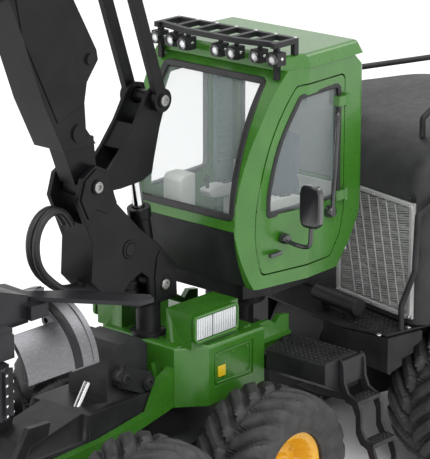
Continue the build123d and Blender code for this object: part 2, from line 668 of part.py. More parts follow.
# Base under the cab: turntable housing over the column
with BuildPart() as cab_base:
    plan_slab(((-22, -14), (-22, 14), (-30, 17), (-46, 17), (-50, 12), (-50, -12), (-46, -17),
               (-30, -17)), 58.0, cab_floor_z - 58.0)
    rod((cab_turn_x, 0, 52.6), (cab_turn_x, 0, 58.0), cab_column + 3.2)
    rod((cab_turn_x, 0, 52.0), (cab_turn_x, 0, 56.4), cab_column + slip, Mode.SUBTRACT)
keep("cab_base", cab_base, "front")

# Light rack on the roof's front edge: curved bar, legs, rungs and seven lamps
rack_x = -26.0
rack_z = 127.0
lamp_places = (-19.0, -13.5, -8.0, 3.5, 9.0, 16.0, 22.0)
with BuildPart() as light_rack:
    plan_slab(((rack_x, -20), (rack_x + 2.6, -8), (rack_x + 2.6, 10), (rack_x, 22.0),
               (rack_x - 1.6, 22.0), (rack_x + 1.0, 10), (rack_x + 1.0, -8), (rack_x - 1.6, -20)),
              rack_z, 1.4)
    box_between((rack_x - 8.6, -20, rack_z), (rack_x - 7.2, 22, rack_z + 1.4))
    for rung in range(7):
        rung_y = -19.3 + rung * 6.8
        box_between((rack_x - 8, rung_y - 0.7, rack_z), (rack_x + 1.4, rung_y + 0.7, rack_z + 1.4))
    for leg_y in (-20.0, 20.6):
        box_between((rack_x - 1.2, leg_y, 118.5), (rack_x, leg_y + 1.4, rack_z + 0.4))
        box_between((rack_x - 8.6, leg_y, 124.05), (rack_x - 7.0, leg_y + 1.4, rack_z + 0.4))
    for lamp_y in lamp_places:
        side_reach = rack_x + (2.6 if abs(lamp_y) < 12 else 1.4)
        box_between((side_reach - 3.0, lamp_y - 1.6, rack_z - 4.4),
                    (side_reach + 0.4, lamp_y + 1.6, rack_z - 1.0))
        box_between((side_reach - 2.0, lamp_y - 0.5, rack_z - 1.2),
                    (side_reach - 1.2, lamp_y + 0.5, rack_z + 0.2))
keep("light_rack", light_rack, "front")

# Seat with headrest
with BuildPart() as seat:
    with Locations((-43.0, 2.0, cab_floor_z + 3.4)):
        Box(7.0, 8.0, 6.0, align=(Align.CENTER, Align.CENTER, Align.MIN))
    side_slab(((-36.5, 72.6), (-35.6, 75.0), (-37.0, 76.8), (-47.5, 76.4), (-49.6, 97.0),
               (-52.6, 97.4), (-52.2, 76.0), (-49.0, 72.6)), 2.0, 13.5, round_corners=0.9)
    side_slab(((-49.9, 98.4), (-49.9, 104.0), (-53.0, 104.4), (-53.0, 98.2)), 2.0, 8.0,
              round_corners=0.8)
    box_between((-51.8, 0.2, 96.8), (-50.8, 3.8, 99.0))
keep("seat", seat, "front")

# Consoles: two arm pods with levers, and the dark box by the windscreen
with BuildPart() as consoles:
    for side in (1, -1):
        side_slab(((-47.0, 78.4), (-33.0, 79.8), (-31.0, 82.0), (-36.0, 83.2), (-47.0, 81.6)),
                  2.0 + side * 10.2, 4.0)
        rod((-33.0, 2.0 + side * 10.2, 82.0), (-32.2, 2.0 + side * 10.2, 86.0), 0.8)
        box_between((-44.0, 2.0 + side * 10.2 - 1.2, cab_floor_z + 3.4),
                    (-40.0, 2.0 + side * 10.2 + 1.2, 79.0))
    box_between((-28.0, -15.0, cab_floor_z + 3.4), (-22.0, -8.0, 88.0))
keep("consoles", consoles, "front")

# Door: the left wall's panel between nose and rear pillar, with its window cut
hinge_x = -51.4
door_axis_y = 24.9
with BuildPart() as door:
    add(cab_body.part)
    add(cab_core.part, mode=Mode.SUBTRACT)
    extrude(leaf_face(door_curve, door_rest, cab_rear_half - 5, door_gap), amount=-8,
            mode=Mode.INTERSECT)
    extrude(leaf_face(window_curve, window_rest, cab_rear_half - 5, 0), amount=-8,
            mode=Mode.SUBTRACT)
    # Hinge straps with their knuckles on the door's axis
    for strap_z in (82.0, 108.0):
        box_between((hinge_x, 23.2, strap_z), (hinge_x + 3.6, door_axis_y + 0.4, strap_z + 2.6))
        rod((hinge_x, door_axis_y, strap_z - 0.4), (hinge_x, door_axis_y, strap_z + 3.0), 0.8)
keep("door", door, "door")

with BuildPart() as door_window:
    add(side_glass(1))
keep("door_window", door_window, "door")

# Mirror on its arm, wiper and door handle
with BuildPart() as door_fittings:
    rod((-27.0, 23.15, 76.0), (-27.0, 25.8, 76.0), 1.3)
    bent_tube(((-27.0, 25.2, 76.0), (-27.6, 29.6, 75.2), (-28.0, 32.2, 77.0),
               (-28.0, 32.2, 84.0)), 0.6, 1.0)
    with Locations(Location((-27.6, 32.6, 86.2), (0, 0, 5))):
        Box(1.8, 6.0, 11.0)
    rod((-45.0, 24.35, 79.6), (-45.0, 26.0, 79.6), 1.6)
    rod((-45.0, 25.3, 79.6), (-46.8, 25.3, 95.0), 0.6)
    rod((-46.8, 25.3, 84.0), (-47.4, 25.3, 106.0), 0.5)
    box_between((-26.5, 22.9, 71.6), (-21.6, 24.2, 72.9))
keep("door_fittings", door_fittings, "door")

# Crane. Directions in the machine's middle plane, as (x, z)
boom_dir = (math.cos(math.radians(boom_angle)), math.sin(math.radians(boom_angle)))
knee_x = foot_x + boom_length * boom_dir[0]
knee_z = foot_z + boom_length * boom_dir[1]
lever_arm = (link_x - foot_x, link_z - foot_z)
top_link_x = knee_x + lever_arm[0]
top_link_z = knee_z + lever_arm[1]
jib_tip_x, jib_tip_z = 84.0, 108.0
jib_run = math.hypot(jib_tip_x - knee_x, jib_tip_z - knee_z)
jib_dir = ((jib_tip_x - knee_x) / jib_run, (jib_tip_z - knee_z) / jib_run)


def along(base, direction, run, offset_side=0.0):
    """A point run along a direction from base, and offset_side to its left."""
    return (base[0] + direction[0] * run - direction[1] * offset_side,
            base[1] + direction[1] * run + direction[0] * offset_side)


# Pillar: two side plates joined by the bent front plate, standing on the post's pintle
pillar_outline = ((31.2, 95.0), (26.0, 83.0), (26.7, 73.0), (20.5, 66.6), (16.7, 65.3),
                  (12.8, 69.6), (8.3, 71.2), (5.4, 69.0), (4.6, 61.4), (-5.3, 61.4),
                  (-4.9, 70.5), (1.0, 76.8), (9.0, 83.3), (17.3, 91.8), (20.0, 101.0),
                  (24.6, 103.2), (29.4, 100.6))
with BuildPart() as crane_pillar:
    for side in (1, -1):
        side_slab(pillar_outline, side * (pillar_half - plate / 2), plate)
        cross_pin(12.6, 78.4, 1.7, side * (pillar_half - 0.1), side * (pillar_half + 0.5))
        cross_pin(barrel_x, barrel_z, rivet, side * (pillar_half - 0.1), side * (pillar_half + 0.5))
    cross_pin(barrel_x, barrel_z, crane_pin, -pillar_half + 0.2, pillar_half - 0.2)
    # Front plate in three flats
    side_slab(((26.0, 83.0), (26.7, 73.0), (20.5, 66.6), (16.7, 65.3), (16.2, 66.6),
               (19.8, 67.9), (25.3, 73.5), (24.6, 83.0), (26.6, 88.4), (28.2, 88.4)), 0,
              2 * pillar_half - 0.4)
    # Foot plate with the pintle's bore, and the slewing motor behind the arch
    box_between((-5.3, -pillar_half, post_top + 0.3), (9.0, pillar_half, post_top + 1.9))
    rod((0, 0, post_top), (0, 0, post_top + 3), pintle_radius + slip, Mode.SUBTRACT)
    rod((7.2, 0, post_top + 1.5), (7.2, 0, 74.0), 2.3)
    for ring in range(3):
        rod((7.2, 0, 64.5 + ring * 2.4), (7.2, 0, 65.6 + ring * 2.4), 2.6)
    box_between((5.4, -pillar_half + 0.2, 73.0), (9.4, pillar_half - 0.2, 75.0))
    cross_pin(foot_x, foot_z, crane_pin + slip, -pillar_half - 1, pillar_half + 1, Mode.SUBTRACT)
keep("crane_pillar", crane_pillar)

# Hoses: a double loop in front of the pillar, both ends in its front plate
with BuildPart() as crane_hoses:
    for hose_y in (-1.15, 1.15):
        bent_tube(((29.3, hose_y, 87.9), (31.2, hose_y, 91.4), (35.0, hose_y, 93.0),
                   (39.2, hose_y, 91.4), (41.8, hose_y, 87.2), (41.8, hose_y, 81.8),
                   (39.8, hose_y, 77.6), (36.6, hose_y, 74.5), (33.2, hose_y, 71.8),
                   (29.4, hose_y, 70.3), (25.4, hose_y, 70.2)), 1.0, 2.4)
keep("crane_hoses", crane_hoses)

# Main boom: lug between the lever plates at its foot, then the wide box up to the knee
boom_drawn = 105.0              # boom length at which the outline's upper points stand as given


def on_boom(x, z):
    """A point of the boom's outline, which follows the boom's length above its foot."""
    share = boom_length / boom_drawn
    return (foot_x + (x - foot_x) * share, foot_z + (z - foot_z) * share)


boom_back = ((24.2, 108.8), (27.6, 113.2), (28.0, 120.0), (27.0, 125.0), (23.0, 130.0),
             (23.5, 132.6), on_boom(31.6, 147.0))
boom_front = (on_boom(55.0, 156.0), on_boom(48.0, 138.0), on_boom(42.0, 122.0), (35.4, 108.8))
with BuildPart() as main_boom:
    tip_back = along((knee_x, knee_z), boom_dir, 3.0, 4.4)
    tip_front = along((knee_x, knee_z), boom_dir, 3.0, -4.4)
    side_slab(boom_back + (along((knee_x, knee_z), boom_dir, -12.0, 4.6), tip_back, tip_front,
                           along((knee_x, knee_z), boom_dir, -12.0, -5.2)) + boom_front,
              0, 2 * boom_half)
    # Fork at the knee for the jib's lug
    side_slab((along((knee_x, knee_z), boom_dir, -7.0, 7), along((knee_x, knee_z), boom_dir, 7, 7),
               along((knee_x, knee_z), boom_dir, 7, -7),
               along((knee_x, knee_z), boom_dir, -22.0, -7),
               along((knee_x, knee_z), boom_dir, -15.0, -1.0)), 0, 6.8, Mode.SUBTRACT)
    for side in (1, -1):
        cross_pin(knee_x, knee_z, 4.4, side * 3.4, side * boom_half)
    # Foot lug between the lever plates
    side_slab(((foot_x - 3.4, foot_z), (foot_x - 2.2, 110.0), (foot_x + 9.0, 110.0),
               (foot_x + 4.6, foot_z + 1)), 0, 2 * (lever_gap - side_gap))
    cross_pin(foot_x, foot_z, 3.4, -lever_gap + side_gap, lever_gap - side_gap)
    # Foot pin with its rivet ends outside the pillar
    cross_pin(foot_x, foot_z, crane_pin, -pillar_half - 0.8, pillar_half + 0.8)
    for side in (1, -1):
        cross_pin(foot_x, foot_z, rivet, side * (pillar_half + 0.3), side * (pillar_half + 0.9))
        cross_pin(30.3, 112.6, 2.3, side * (boom_half - 0.2), side * (boom_half + 0.5))
        cross_pin(25.9, 130.6, 1.5, side * (boom_half - 0.2), side * (boom_half + 0.6))
    # Knee pin
    cross_pin(knee_x, knee_z, crane_pin, -boom_half - 0.6, boom_half + 0.6)
    # Valve block and hose duct on the front face
    valve_base = on_boom(52.0, 150.0)
    side_slab((valve_base, along(valve_base, boom_dir, 12.5), along(valve_base, boom_dir, 12.5, -4.6),
               along(valve_base, boom_dir, 0.0, -4.6)), 0, 8.6)
    for spool in range(4):
        spool_at = along(valve_base, boom_dir, 2.0 + spool * 2.8, -2.6)
        cross_pin(spool_at[0], spool_at[1], 1.0, -5.2, 5.2)
keep("main_boom", main_boom)

# Lever: two curved plates with a web at the back, on the boom's foot pin
lever_outline = ((foot_x + 2.6, foot_z - 1.8), (foot_x + 1.4, foot_z + 2.8), (18.6, 100.0),
                 (13.4, 104.8), (8.4, 110.6), (4.2, 117.2), (1.4, 119.2), (-2.2, 118.4),
                 (-3.4, 115.2), (-0.6, 108.0), (1.6, 100.0), (2.4, 96.4), (6.2, 95.0),
                 (14.0, 94.6), (foot_x - 3.0, foot_z - 2.6))
with BuildPart() as lever:
    for side in (1, -1):
        side_slab(lever_outline, side * (lever_half + lever_gap) / 2, lever_half - lever_gap)
        cross_pin(eye_x, eye_z, 1.5, side * (2.2 + side_gap), side * (lever_half + 0.1))
    side_slab(((-1.6, 108.6), (0.6, 101.2), (1.9, 101.6), (-0.2, 109.2)), 0, 2 * lever_gap + 0.4)
    side_slab(((12.8, 104.6), (8.0, 110.2), (6.8, 109.4), (11.8, 103.6)), 0, 2 * lever_gap + 0.4)
    cross_pin(foot_x, foot_z, crane_pin + slip, -8, 8, Mode.SUBTRACT)
    cross_pin(link_x, link_z, 1.9 + slip, -8, 8, Mode.SUBTRACT)
keep("lever", lever)

# Link bars: two flat bars with end bosses, joined by the tube through the lever
with BuildPart() as link_bars:
    bar_run = Vector(top_link_x - link_x, 0, top_link_z - link_z)
    bar_dir = (bar_run.X / bar_run.length, bar_run.Z / bar_run.length)
    bar_mid = (bar_half + bar_gap) / 2
    for side in (1, -1):
        side_slab((along((link_x, link_z), bar_dir, 0, 1.7),
                   along((link_x, link_z), bar_dir, bar_run.length, 1.7),
                   along((link_x, link_z), bar_dir, bar_run.length, -1.7),
                   along((link_x, link_z), bar_dir, 0, -1.7)), side * bar_mid, bar_half - bar_gap)
        for end_x, end_z in ((link_x, link_z), (top_link_x, top_link_z)):
            cross_pin(end_x, end_z, 3.1, side * bar_gap, side * bar_half)
            cross_pin(end_x, end_z, rivet, side * (bar_half - 0.1), side * (bar_half + 0.5))
    cross_pin(link_x, link_z, 1.9, -bar_gap - 0.2, bar_gap + 0.2)
    cross_pin(top_link_x, top_link_z, crane_pin, -bar_gap - 0.2, bar_gap + 0.2)
keep("link_bars", link_bars)

# Lift cylinder: barrel on the pillar, rod towards the lever's eye
cylinder_run = Vector(eye_x - barrel_x, 0, eye_z - barrel_z)
cylinder_dir = (cylinder_run.X / cylinder_run.length, cylinder_run.Z / cylinder_run.length)
barrel_length = 20.5
barrel_radius = 2.7
rod_radius = 1.4
with BuildPart() as lift_barrel:
    base = along((barrel_x, barrel_z), cylinder_dir, 2.2)
    end = along((barrel_x, barrel_z), cylinder_dir, barrel_length)
    bore_start = along((barrel_x, barrel_z), cylinder_dir, 3.6)
    bore_end = along((barrel_x, barrel_z), cylinder_dir, barrel_length + 1)
    cross_pin(barrel_x, barrel_z, 2.3, -3.2, 3.2)
    rod((base[0], 0, base[1]), (end[0], 0, end[1]), barrel_radius)
    foot_end = along((barrel_x, barrel_z), cylinder_dir, 3.2)
    rod((barrel_x, 0, barrel_z), (foot_end[0], 0, foot_end[1]), 2.0)
    rod((bore_start[0], 0, bore_start[1]), (bore_end[0], 0, bore_end[1]), rod_radius + slip,
        Mode.SUBTRACT)
    cross_pin(barrel_x, barrel_z, crane_pin + slip, -5, 5, Mode.SUBTRACT)
keep("lift_barrel", lift_barrel)
with BuildPart() as lift_rod:
    rod_start = along((barrel_x, barrel_z), cylinder_dir, 9.2)
    rod((rod_start[0], 0, rod_start[1]), (eye_x, 0, eye_z), rod_radius)
    cross_pin(eye_x, eye_z, 2.4, -2.2, 2.2)
    cross_pin(eye_x, eye_z, crane_pin, -3, 3, Mode.SUBTRACT)
keep("lift_rod", lift_rod)

# Jib: rear arm to the link bars, lug in the boom's fork and the square tube for the extension
jib_tube_half = 4.4
jib_bore_half = 3.3
jib_start = 19.0
extension_start = jib_start + 13.6
jib_tube_end = jib_run - 26.0
knee = (knee_x, knee_z)
arm_dir = (lever_arm[0] / math.hypot(*lever_arm), lever_arm[1] / math.hypot(*lever_arm))
arm_run = math.hypot(*lever_arm)
with BuildPart() as jib:
    cross_pin(knee_x, knee_z, 4.2, -3.1, 3.1)
    side_slab((along(knee, arm_dir, 0, 3.6), along(knee, arm_dir, arm_run, 2.6),
               along(knee, arm_dir, arm_run, -2.6), along(knee, arm_dir, 0, -3.6)), 0, 6.2)
    cross_pin(top_link_x, top_link_z, 2.9, -3.9, 3.9)
    side_slab((along(knee, jib_dir, -2.0, -3.4), along(knee, jib_dir, -2.0, 3.4),
               along(knee, jib_dir, jib_start + 1, jib_tube_half),
               along(knee, jib_dir, jib_start + 1, -jib_tube_half)), 0, 6.2)
    side_slab((along(knee, jib_dir, jib_start, -jib_tube_half),
               along(knee, jib_dir, jib_start, jib_tube_half),
               along(knee, jib_dir, jib_tube_end, jib_tube_half),
               along(knee, jib_dir, jib_tube_end, -jib_tube_half)), 0, 2 * jib_tube_half)
    side_slab((along(knee, jib_dir, jib_tube_end - 3.0, -jib_tube_half - 0.7),
               along(knee, jib_dir, jib_tube_end - 3.0, jib_tube_half + 0.7),
               along(knee, jib_dir, jib_tube_end, jib_tube_half + 0.7),
               along(knee, jib_dir, jib_tube_end, -jib_tube_half - 0.7)), 0,
              2 * jib_tube_half + 1.4)
    side_slab((along(knee, jib_dir, jib_start + 3, -jib_bore_half),
               along(knee, jib_dir, jib_start + 3, jib_bore_half),
               along(knee, jib_dir, jib_tube_end + 1, jib_bore_half),
               along(knee, jib_dir, jib_tube_end + 1, -jib_bore_half)), 0, 2 * jib_bore_half,
              Mode.SUBTRACT)
    cross_pin(knee_x, knee_z, crane_pin + slip, -8, 8, Mode.SUBTRACT)
    cross_pin(top_link_x, top_link_z, crane_pin + slip, -8, 8, Mode.SUBTRACT)
keep("jib", jib)

# Extension: square tube in the jib, with the fork that carries the crosshead
extension_half = jib_bore_half - slip
with BuildPart() as jib_extension:
    side_slab((along(knee, jib_dir, extension_start, -extension_half),
               along(knee, jib_dir, extension_start, extension_half),
               along(knee, jib_dir, jib_run - 3.2, extension_half),
               along(knee, jib_dir, jib_run - 3.2, -extension_half)), 0, 2 * extension_half)
    for side in (1, -1):
        side_slab((along(knee, jib_dir, jib_run - 6.0, -extension_half + 0.3),
                   along(knee, jib_dir, jib_run - 6.0, extension_half - 0.3),
                   along(knee, jib_dir, jib_run + 1.8, 2.2),
                   along(knee, jib_dir, jib_run + 1.8, -2.2)), side * 2.5, 1.2)
    cross_pin(jib_tip_x, jib_tip_z, 1.2 + slip, -5, 5, Mode.SUBTRACT)
keep("jib_extension", jib_extension)

# Crosshead: link on the extension's pin, carrying the rotator's housing
tilt_x, tilt_z = 84.0, 84.0
with BuildPart() as crosshead:
    side_slab(((jib_tip_x - 2, jib_tip_z + 1.8), (jib_tip_x + 2, jib_tip_z + 1.8),
               (jib_tip_x + 3, 101.4), (jib_tip_x - 3, 101.4)), 0, 3.6)
    cross_pin(jib_tip_x, jib_tip_z, 1.2, -3.9, 3.9)
    rod((tilt_x, 0, 96.4), (tilt_x, 0, 101.6), 4.0)
    rod((tilt_x, 0, 94.6), (tilt_x, 0, 96.6), 2.0)
keep("crosshead", crosshead)

# Rotator: turning housing under the crosshead with ears for the head's tilt pin
with BuildPart() as rotator:
    rod((tilt_x, 0, 91.0), (tilt_x, 0, 96.1), 4.6)
    rod((tilt_x, 0, 94.3), (tilt_x, 0, 97), 2.0 + slip, Mode.SUBTRACT)
    side_slab(((tilt_x - 4, 91.6), (tilt_x + 4, 91.6), (tilt_x + 3, 82.2), (tilt_x - 3, 82.2)),
              0, 5.0)
    cross_pin(tilt_x, tilt_z, 2.9, -2.5, 2.5)
    cross_pin(tilt_x, tilt_z, crane_pin + slip, -4, 4, Mode.SUBTRACT)
keep("rotator", rotator)

# Harvester head, lying along the machine with its knives towards the pillar
head_near_x = 51.0
head_far_x = 98.0
stem_z = 57.5
head_half = 7.4
with BuildPart() as head_frame:
    # Spine with the tilt ears
    side_slab(((head_near_x, 69.0), (head_near_x, 76.0), (60.0, 79.0), (90.0, 79.0),
               (head_far_x, 74.0), (head_far_x, 69.0)), 0, 2 * head_half)
    for side in (1, -1):
        side_slab(((tilt_x - 8, 78.0), (tilt_x + 8, 78.0), (tilt_x + 3.2, 86.8),
                   (tilt_x - 3.2, 86.8)), side * 4.0, 2.0)
        cross_pin(tilt_x, tilt_z, rivet, side * 4.9, side * 5.6)
        # Roller arms
        side_slab(((61.5, 70.0), (61.5, 64.0), (74.5, 64.0), (74.5, 70.0)), side * 12.2, 2.0)
        box_between((62.0, side * 7.0, 69.6), (74.0, side * 13.2, 71.8))
    cross_pin(tilt_x, tilt_z, crane_pin, -5.2, 5.2)
    # Saw box with its guard at the far end
    front_slab(((-9.5, 69.5), (-9.5, 62.0), (-3.0, 62.0), (-3.0, 66.0), (3.0, 66.0), (3.0, 48.2),
                (9.5, 48.2), (9.5, 69.5)), head_far_x - 2.5, 5.0)
    # Knife hinge blocks at the near end
    front_slab(((-9.5, 70.0), (-9.5, 73.6), (9.5, 73.6), (9.5, 70.0)), 49.0, 6.0)
    # Thin guard plate that reaches across towards the left
    plan_slab(((52.4, -9.0), (55.0, -2.0), (47.0, 12.0), (35.0, 30.0), (30.6, 30.6), (29.0, 28.0),
               (38.5, 12.0), (47.4, 3.0), (46.8, -5.0)), 74.2, 1.1)
    box_between((46.6, -3.0, 73.4), (51.6, 3.0, 74.4))
keep("head_frame", head_frame)

# Delimbing knives: curved claws on hinges along the stem
knife_low_x = 36.0
knife_hinge_x = 45.6       # the part between the hinge blocks and the pillar
knife_high_x = 60.5
knife_top_y = 2.2
knife_side_y = 10.8        # beside the stem the claw starts lower
claw_outer = 17.0
claw_wall = 1.2
hinge_y = 8.0
hinge_z = 68.2
for side, label in ((1, "left"), (-1, "right")):
    with BuildPart() as knife:
        for start_x, end_x, top_y in ((knife_low_x, knife_hinge_x, knife_top_y),
                                      (knife_hinge_x - 0.1, knife_high_x, knife_side_y)):
            with BuildSketch(Plane.YZ.offset(start_x)) as claw:
                with Locations((0, stem_z - 2.0)):
                    Circle(claw_outer)
                    Circle(claw_outer - claw_wall, mode=Mode.SUBTRACT)
                with BuildLine():
                    Polyline((side * top_y, stem_z + 20), (side * top_y, stem_z + 8.6 - top_y * 0.5),
                             (side * 30, 49.5), (side * 30, stem_z + 20), close=True)
                make_face(mode=Mode.INTERSECT)
            extrude(claw.sketch, amount=end_x - start_x)
        rod((knife_low_x, side * hinge_y, hinge_z), (knife_hinge_x, side * hinge_y, hinge_z), 1.5)
        rod((knife_low_x, side * hinge_y, hinge_z), (knife_hinge_x, side * hinge_y, hinge_z), 0.7,
            Mode.SUBTRACT)
    keep("knife_" + label, knife)

# Feed rollers: toothed drums on upright axles under the roller arms
roller_x = 68.0
roller_y = 12.4
for side, label in ((1, "left"), (-1, "right")):
    with BuildPart() as feed_roller:
        rod((roller_x, side * roller_y, 50.0), (roller_x, side * roller_y, 63.6), 3.6)
        for tooth in range(8):
            turn = tooth * 45
            tooth_at = Location((roller_x, side * roller_y, 0), (0, 0, turn))
            with Locations(tooth_at * Location((4.0, 0, 56.8))):
                Box(1.6, 1.1, 12.0)
    keep("roller_" + label, feed_roller)

# Placing: the rear pieces turn to the rest angle, and everything moves to the origin
os.makedirs("parts", exist_ok=True)
rear_turn = (Location((joint_x, 0, 0)) * Location((0, 0, 0), (0, 0, rest_steer))
             * Location((-joint_x, 0, 0)))
to_origin = Location((-datum_x, -datum_y, 0))
for name, (solid, group) in pieces.items():
    placed = to_origin * rear_turn if group == "rear" else to_origin
    piece = solid.moved(placed)
    piece.label = name
    export_step(piece, "parts/" + name + ".step")
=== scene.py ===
"""Looks for the scale model of a forestry harvester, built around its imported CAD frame."""

import json
import logging
import math
from dataclasses import dataclass, field
from enum import Enum

import bmesh
import bpy
from mathutils import Matrix, Vector

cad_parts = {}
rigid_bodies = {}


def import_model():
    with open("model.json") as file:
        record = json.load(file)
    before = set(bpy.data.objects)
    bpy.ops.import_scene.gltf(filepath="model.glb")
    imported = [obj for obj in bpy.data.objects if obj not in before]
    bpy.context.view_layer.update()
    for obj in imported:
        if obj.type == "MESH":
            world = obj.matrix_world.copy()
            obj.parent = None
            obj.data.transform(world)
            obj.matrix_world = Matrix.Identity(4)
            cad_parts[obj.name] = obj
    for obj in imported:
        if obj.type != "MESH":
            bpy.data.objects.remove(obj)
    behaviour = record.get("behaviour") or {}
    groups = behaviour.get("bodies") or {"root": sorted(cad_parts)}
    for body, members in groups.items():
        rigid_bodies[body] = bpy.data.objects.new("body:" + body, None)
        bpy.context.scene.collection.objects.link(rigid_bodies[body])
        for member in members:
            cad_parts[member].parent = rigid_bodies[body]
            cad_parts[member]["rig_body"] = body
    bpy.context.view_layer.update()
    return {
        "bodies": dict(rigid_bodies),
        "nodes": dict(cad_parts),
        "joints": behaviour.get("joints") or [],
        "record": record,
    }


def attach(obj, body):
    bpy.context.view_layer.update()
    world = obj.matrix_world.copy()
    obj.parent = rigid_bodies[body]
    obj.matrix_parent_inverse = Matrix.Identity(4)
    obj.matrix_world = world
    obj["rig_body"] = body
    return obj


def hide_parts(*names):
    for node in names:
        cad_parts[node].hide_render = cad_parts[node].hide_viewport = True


LOG = logging.getLogger("harvester")
MM = 0.001
Point = tuple[float, float, float]
Colour = tuple[float, float, float]


class Slot(Enum):
    """Material slots of the record, one named on each finish."""

    CHASSIS = "black_chassis"
    PAINT = "green_paint"
    LENS = "lamp_lens"
    GLAZING = "clear_glass"
    HOOD = "hood_grey"
    GRILLE = "grille_grey"
    FLOOR = "floor_grey"
    SEAT = "seat_blue"
    CRANE = "crane_black"
    HOSE = "hose_rubber"
    CHROME = "rod_chrome"
    HEAD = "head_black"
    KNIFE = "knife_steel"
    TYRE = "tyre_rubber"
    RIM = "rim_gold"


class Shader:
    """A material under construction, with short ways to add its nodes."""

    def __init__(self, name: str) -> None:
        """Starts a material with one Principled shader.

        Args:
            name: The material's name.
        """
        self.material = bpy.data.materials.new(name)
        self.material.use_nodes = True
        self.tree = self.material.node_tree
        self.shader = self.tree.nodes["Principled BSDF"]
        self.place = self.tree.nodes.new("ShaderNodeTexCoord").outputs["Object"]

    def set(self, **values: float | tuple) -> None:
        """Sets the shader's own sockets, named in words with underscores."""
        for key, value in values.items():
            self.shader.inputs[key.replace("_", " ")].default_value = value

    def link(self, source: bpy.types.NodeSocket, target: bpy.types.NodeSocket | str) -> None:
        """Joins a socket to another one, or to one of the shader's by name."""
        if isinstance(target, str):
            target = self.shader.inputs[target]
        self.tree.links.new(source, target)

    def stretched(self, scale: Point) -> bpy.types.NodeSocket:
        """Returns the object's coordinates, stretched by a scale on each axis."""
        mapping = self.tree.nodes.new("ShaderNodeMapping")
        mapping.inputs["Scale"].default_value = scale
        self.link(self.place, mapping.inputs["Vector"])
        return mapping.outputs["Vector"]

    def noise(self, size_mm: float, detail: float = 3.0, scale: Point | None = None) -> bpy.types.NodeSocket:
        """Adds noise.

        Args:
            size_mm: Width of one patch.
            detail: Octaves of finer noise.
            scale: Stretch on each axis, for brushed or streaked finishes.

        Returns:
            The noise's value.
        """
        node = self.tree.nodes.new("ShaderNodeTexNoise")
        node.inputs["Scale"].default_value = 1.0 / (size_mm * MM)
        node.inputs["Detail"].default_value = detail
        self.link(self.stretched(scale) if scale else self.place, node.inputs["Vector"])
        return node.outputs["Fac"]

    def waves(self, spacing_mm: float, axis: str, profile: str = "SIN") -> bpy.types.NodeSocket:
        """Adds straight bands across one axis and returns their height."""
        node = self.tree.nodes.new("ShaderNodeTexWave")
        node.bands_direction = axis
        node.wave_profile = profile
        node.inputs["Scale"].default_value = math.pi / (10 * spacing_mm * MM)
        self.link(self.place, node.inputs["Vector"])
        return node.outputs["Fac"]

    def ramp(self, value: bpy.types.NodeSocket, low: Colour, high: Colour,
             start: float = 0.35, end: float = 0.65) -> bpy.types.NodeSocket:
        """Turns a value into a colour between two colours."""
        node = self.tree.nodes.new("ShaderNodeValToRGB")
        node.color_ramp.elements[0].position = start
        node.color_ramp.elements[1].position = end
        node.color_ramp.elements[0].color = (*low, 1)
        node.color_ramp.elements[1].color = (*high, 1)
        self.link(value, node.inputs["Fac"])
        return node.outputs["Color"]

    def span(self, value: bpy.types.NodeSocket, low: float, high: float) -> bpy.types.NodeSocket:
        """Spreads a value of 0 to 1 over a range."""
        node = self.tree.nodes.new("ShaderNodeMapRange")
        node.inputs["To Min"].default_value = low
        node.inputs["To Max"].default_value = high
        self.link(value, node.inputs["Value"])
        return node.outputs["Result"]

    def join(self, first: bpy.types.NodeSocket, second: bpy.types.NodeSocket,
             way: str = "ADD") -> bpy.types.NodeSocket:
        """Combines two values with a Math operation."""
        node = self.tree.nodes.new("ShaderNodeMath")
        node.operation = way
        self.link(first, node.inputs[0])
        self.link(second, node.inputs[1])
        return node.outputs["Value"]

    def relief(self, height: bpy.types.NodeSocket, depth_mm: float, strength: float = 1.0,
               edge_mm: float = 0.0) -> None:
        """Bumps the surface, over edges that catch the light as moulded ones do.

        Args:
            height: Height of the relief, from 0 to 1.
            depth_mm: Depth of the relief.
            strength: Share of the relief that shows.
            edge_mm: Radius of the rounded edges, or 0 for none.
        """
        bump = self.tree.nodes.new("ShaderNodeBump")
        bump.inputs["Distance"].default_value = depth_mm * MM
        bump.inputs["Strength"].default_value = strength
        self.link(height, bump.inputs["Height"])
        if edge_mm:
            edge = self.tree.nodes.new("ShaderNodeBevel")
            edge.samples = 4
            edge.inputs["Radius"].default_value = edge_mm * MM
            self.link(edge.outputs["Normal"], bump.inputs["Normal"])
        self.link(bump.outputs["Normal"], "Normal")


@dataclass(frozen=True)
class Enamel:
    """Glossy sprayed paint over metal, with a faint orange-peel skin."""

    name: str
    slot: Slot
    shade: Colour
    light: Colour
    roughness: float = 0.28
    coat: float = 0.5
    metal: float = 0.0
    edge_mm: float = 0.3
    shine: float = 0.5

    def make(self) -> bpy.types.Material:
        """Builds the material."""
        work = Shader(self.name)
        cloud = work.noise(9.0, 4.0)
        work.link(work.ramp(cloud, self.shade, self.light), "Base Color")
        work.link(work.span(work.noise(1.4, 2.0), self.roughness - 0.05, self.roughness + 0.08),
                  "Roughness")
        work.set(Metallic=self.metal, Coat_Weight=self.coat, Coat_Roughness=0.12,
                 Specular_IOR_Level=self.shine)
        work.relief(work.noise(1.1, 1.0), 0.006, 0.4, self.edge_mm)
        return work.material


